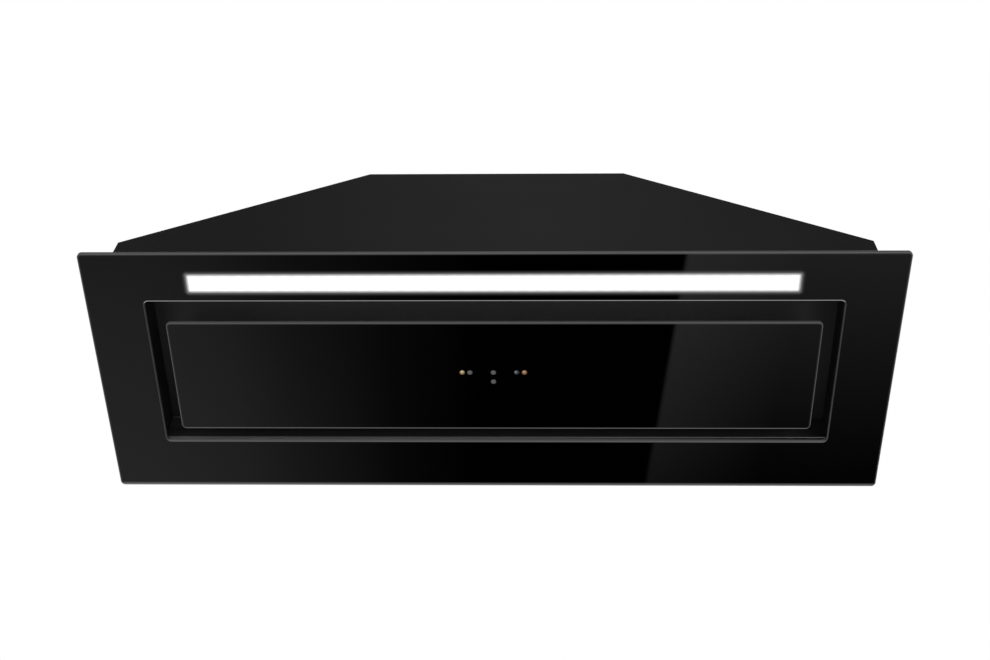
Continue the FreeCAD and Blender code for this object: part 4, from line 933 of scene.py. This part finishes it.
# The dark flag that the housing's front plate mirrors
FRONT_FLAG_GAP = 0.001
FRONT_FLAG_RISE = 0.01
FRONT_FLAG_X = (-1.0, 1.0)
FRONT_FLAG_Y = (-0.9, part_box("housing_front")[0].y - FRONT_FLAG_GAP)
FRONT_FLAG_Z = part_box("housing_front")[1].z + FRONT_FLAG_RISE
FRONT_FLAG_MIDDLE_X = 0.04
FRONT_FLAG_FADE = 0.4
FRONT_FLAG_TONES = (0.18, 0.05)


def reflected_only(item):
    """Shows a stage piece in reflections and nowhere else; returns the empty tree of its material."""
    item.visible_camera = False
    item.visible_diffuse = False
    item.visible_shadow = False
    item.visible_transmission = False
    material = bpy.data.materials.new(item.name)
    material.use_nodes = True
    material.node_tree.nodes.clear()
    item.data.materials.append(material)
    return material.node_tree


def mirrored_in_glass(tree, axis):
    """Where on the glass the camera sees a point of the flag, along X or Y."""
    place = place_axes(tree)["XY"[axis]]
    shifted = math_node(tree, "ADD", place, CAMERA_PLACE[axis] * MIRROR_SHARE)
    return math_node(tree, "DIVIDE", shifted, 1 + MIRROR_SHARE)


def left_glow(tree, glass_x, depth):
    """The soft glow, which is brighter towards the far edge."""
    low = LEFT_NEAR_GLOW[0][0]
    high = LEFT_NEAR_GLOW[-1][0]
    along = map_range(tree, glass_x, low, high, 0.0, 1.0)
    glows = []
    for glow in (LEFT_NEAR_GLOW, LEFT_FAR_GLOW):
        glows.append(grey_ramp(tree, along, [((x - low) / (high - low), tone) for x, tone in glow]))
    return mix_colour(tree, math_node(tree, "POWER", depth, LEFT_DEPTH_POWER), *glows)


def right_glow(tree, glass_x, depth):
    """The hard-edged glow, which fades outward from its edge."""
    edge_x = map_range(tree, depth, 0.0, 1.0, *RIGHT_EDGE_X)
    past_edge = math_node(tree, "SUBTRACT", glass_x, edge_x)
    lit = map_range(tree, past_edge, 0.0, RIGHT_EDGE_SOFT, 0.0, 1.0)
    outward = map_range(tree, past_edge, 0.0, RIGHT_FALL_W, 0.0, 1.0)
    edge_tone = map_range(tree, depth, 0.0, 1.0, *RIGHT_EDGE_TONES)
    loss = math_node(tree, "MULTIPLY", outward, map_range(tree, depth, 0.0, 1.0, *RIGHT_LOSSES))
    kept = math_node(tree, "MULTIPLY", edge_tone, math_node(tree, "SUBTRACT", 1.0, loss))
    return math_node(tree, "MULTIPLY", kept, lit)


def make_flag():
    """The flag under the glass, with its two glows."""
    tree = reflected_only(plane("flag", FLAG_X, FLAG_Y, FLAG_Z))
    glass_x = mirrored_in_glass(tree, 0)
    depth = map_range(tree, mirrored_in_glass(tree, 1), *GLOW_Y, 0.0, 1.0)
    glow = math_node(tree, "ADD", left_glow(tree, glass_x, depth), right_glow(tree, glass_x, depth))
    emission = tree.nodes.new("ShaderNodeEmission")
    tree.links.new(glow, emission.inputs["Strength"])
    output = tree.nodes.new("ShaderNodeOutputMaterial")
    tree.links.new(emission.outputs["Emission"], output.inputs["Surface"])


def make_front_flag():
    """The flag before the housing's front plate, seen only from below."""
    tree = reflected_only(plane("front_flag", FRONT_FLAG_X, FRONT_FLAG_Y, FRONT_FLAG_Z))
    across = math_node(tree, "SUBTRACT", place_axes(tree)["X"], FRONT_FLAG_MIDDLE_X)
    away = math_node(tree, "ABSOLUTE", across)
    tone = map_range(tree, away, 0.0, FRONT_FLAG_FADE, *FRONT_FLAG_TONES, smooth=True)
    dark = tree.nodes.new("ShaderNodeEmission")
    tree.links.new(tone, dark.inputs["Strength"])
    from_below = tree.nodes.new("ShaderNodeNewGeometry").outputs["Backfacing"]
    clear = tree.nodes.new("ShaderNodeBsdfTransparent").outputs["BSDF"]
    output = tree.nodes.new("ShaderNodeOutputMaterial")
    mix_shaders(tree, from_below, clear, dark.outputs["Emission"], output)


# Lights and camera

def area_light(name, place, target, size, power):
    """A soft rectangular lamp, aimed at a point."""
    light = bpy.data.lights.new(name, "AREA")
    light.shape = "RECTANGLE"
    light.size, light.size_y = size
    light.energy = power
    lamp = bpy.data.objects.new(name, light)
    bpy.context.scene.collection.objects.link(lamp)
    lamp.location = place
    aim = bpy.data.objects.new(f"{name}_aim", None)
    bpy.context.scene.collection.objects.link(aim)
    aim.location = target
    follow = lamp.constraints.new("TRACK_TO")
    follow.target = aim
    follow.track_axis = "TRACK_NEGATIVE_Z"
    follow.up_axis = "UP_Y"
    return lamp


def make_lights():
    key = area_light("key", place=(0.0, -1.0, 0.8), target=(0.0, -0.13, 0.2), size=(0.6, 0.35), power=6.0)
    key.visible_glossy = False
    area_light("rear", place=(1.2, 2.2, 1.4), target=(0.0, 0.0, 0.1), size=(1.6, 1.2), power=26.0)


def make_camera():
    data = bpy.data.cameras.new("camera")
    data.lens = LENS_MM
    data.sensor_width = SENSOR_MM
    data.clip_start = CAMERA_CLIP
    camera = bpy.data.objects.new("camera", data)
    bpy.context.scene.collection.objects.link(camera)
    heading = Matrix.Rotation(CAMERA_YAW, 4, "Z") @ Matrix.Rotation(math.pi / 2 + CAMERA_RISE, 4, "X")
    tilted = heading @ Matrix.Rotation(CAMERA_ROLL, 4, "Z")
    camera.matrix_world = Matrix.Translation(CAMERA_PLACE) @ tilted
    bpy.context.scene.camera = camera


make_camera()
materials = make_materials()
dress_nodes(materials)
for side in ("left", "right"):
    make_filter_net(side, materials["filter_net"])
make_floor()
make_flag()
make_front_flag()
make_world()
make_lights()
bpy.context.scene.view_settings.view_transform = "Standard"
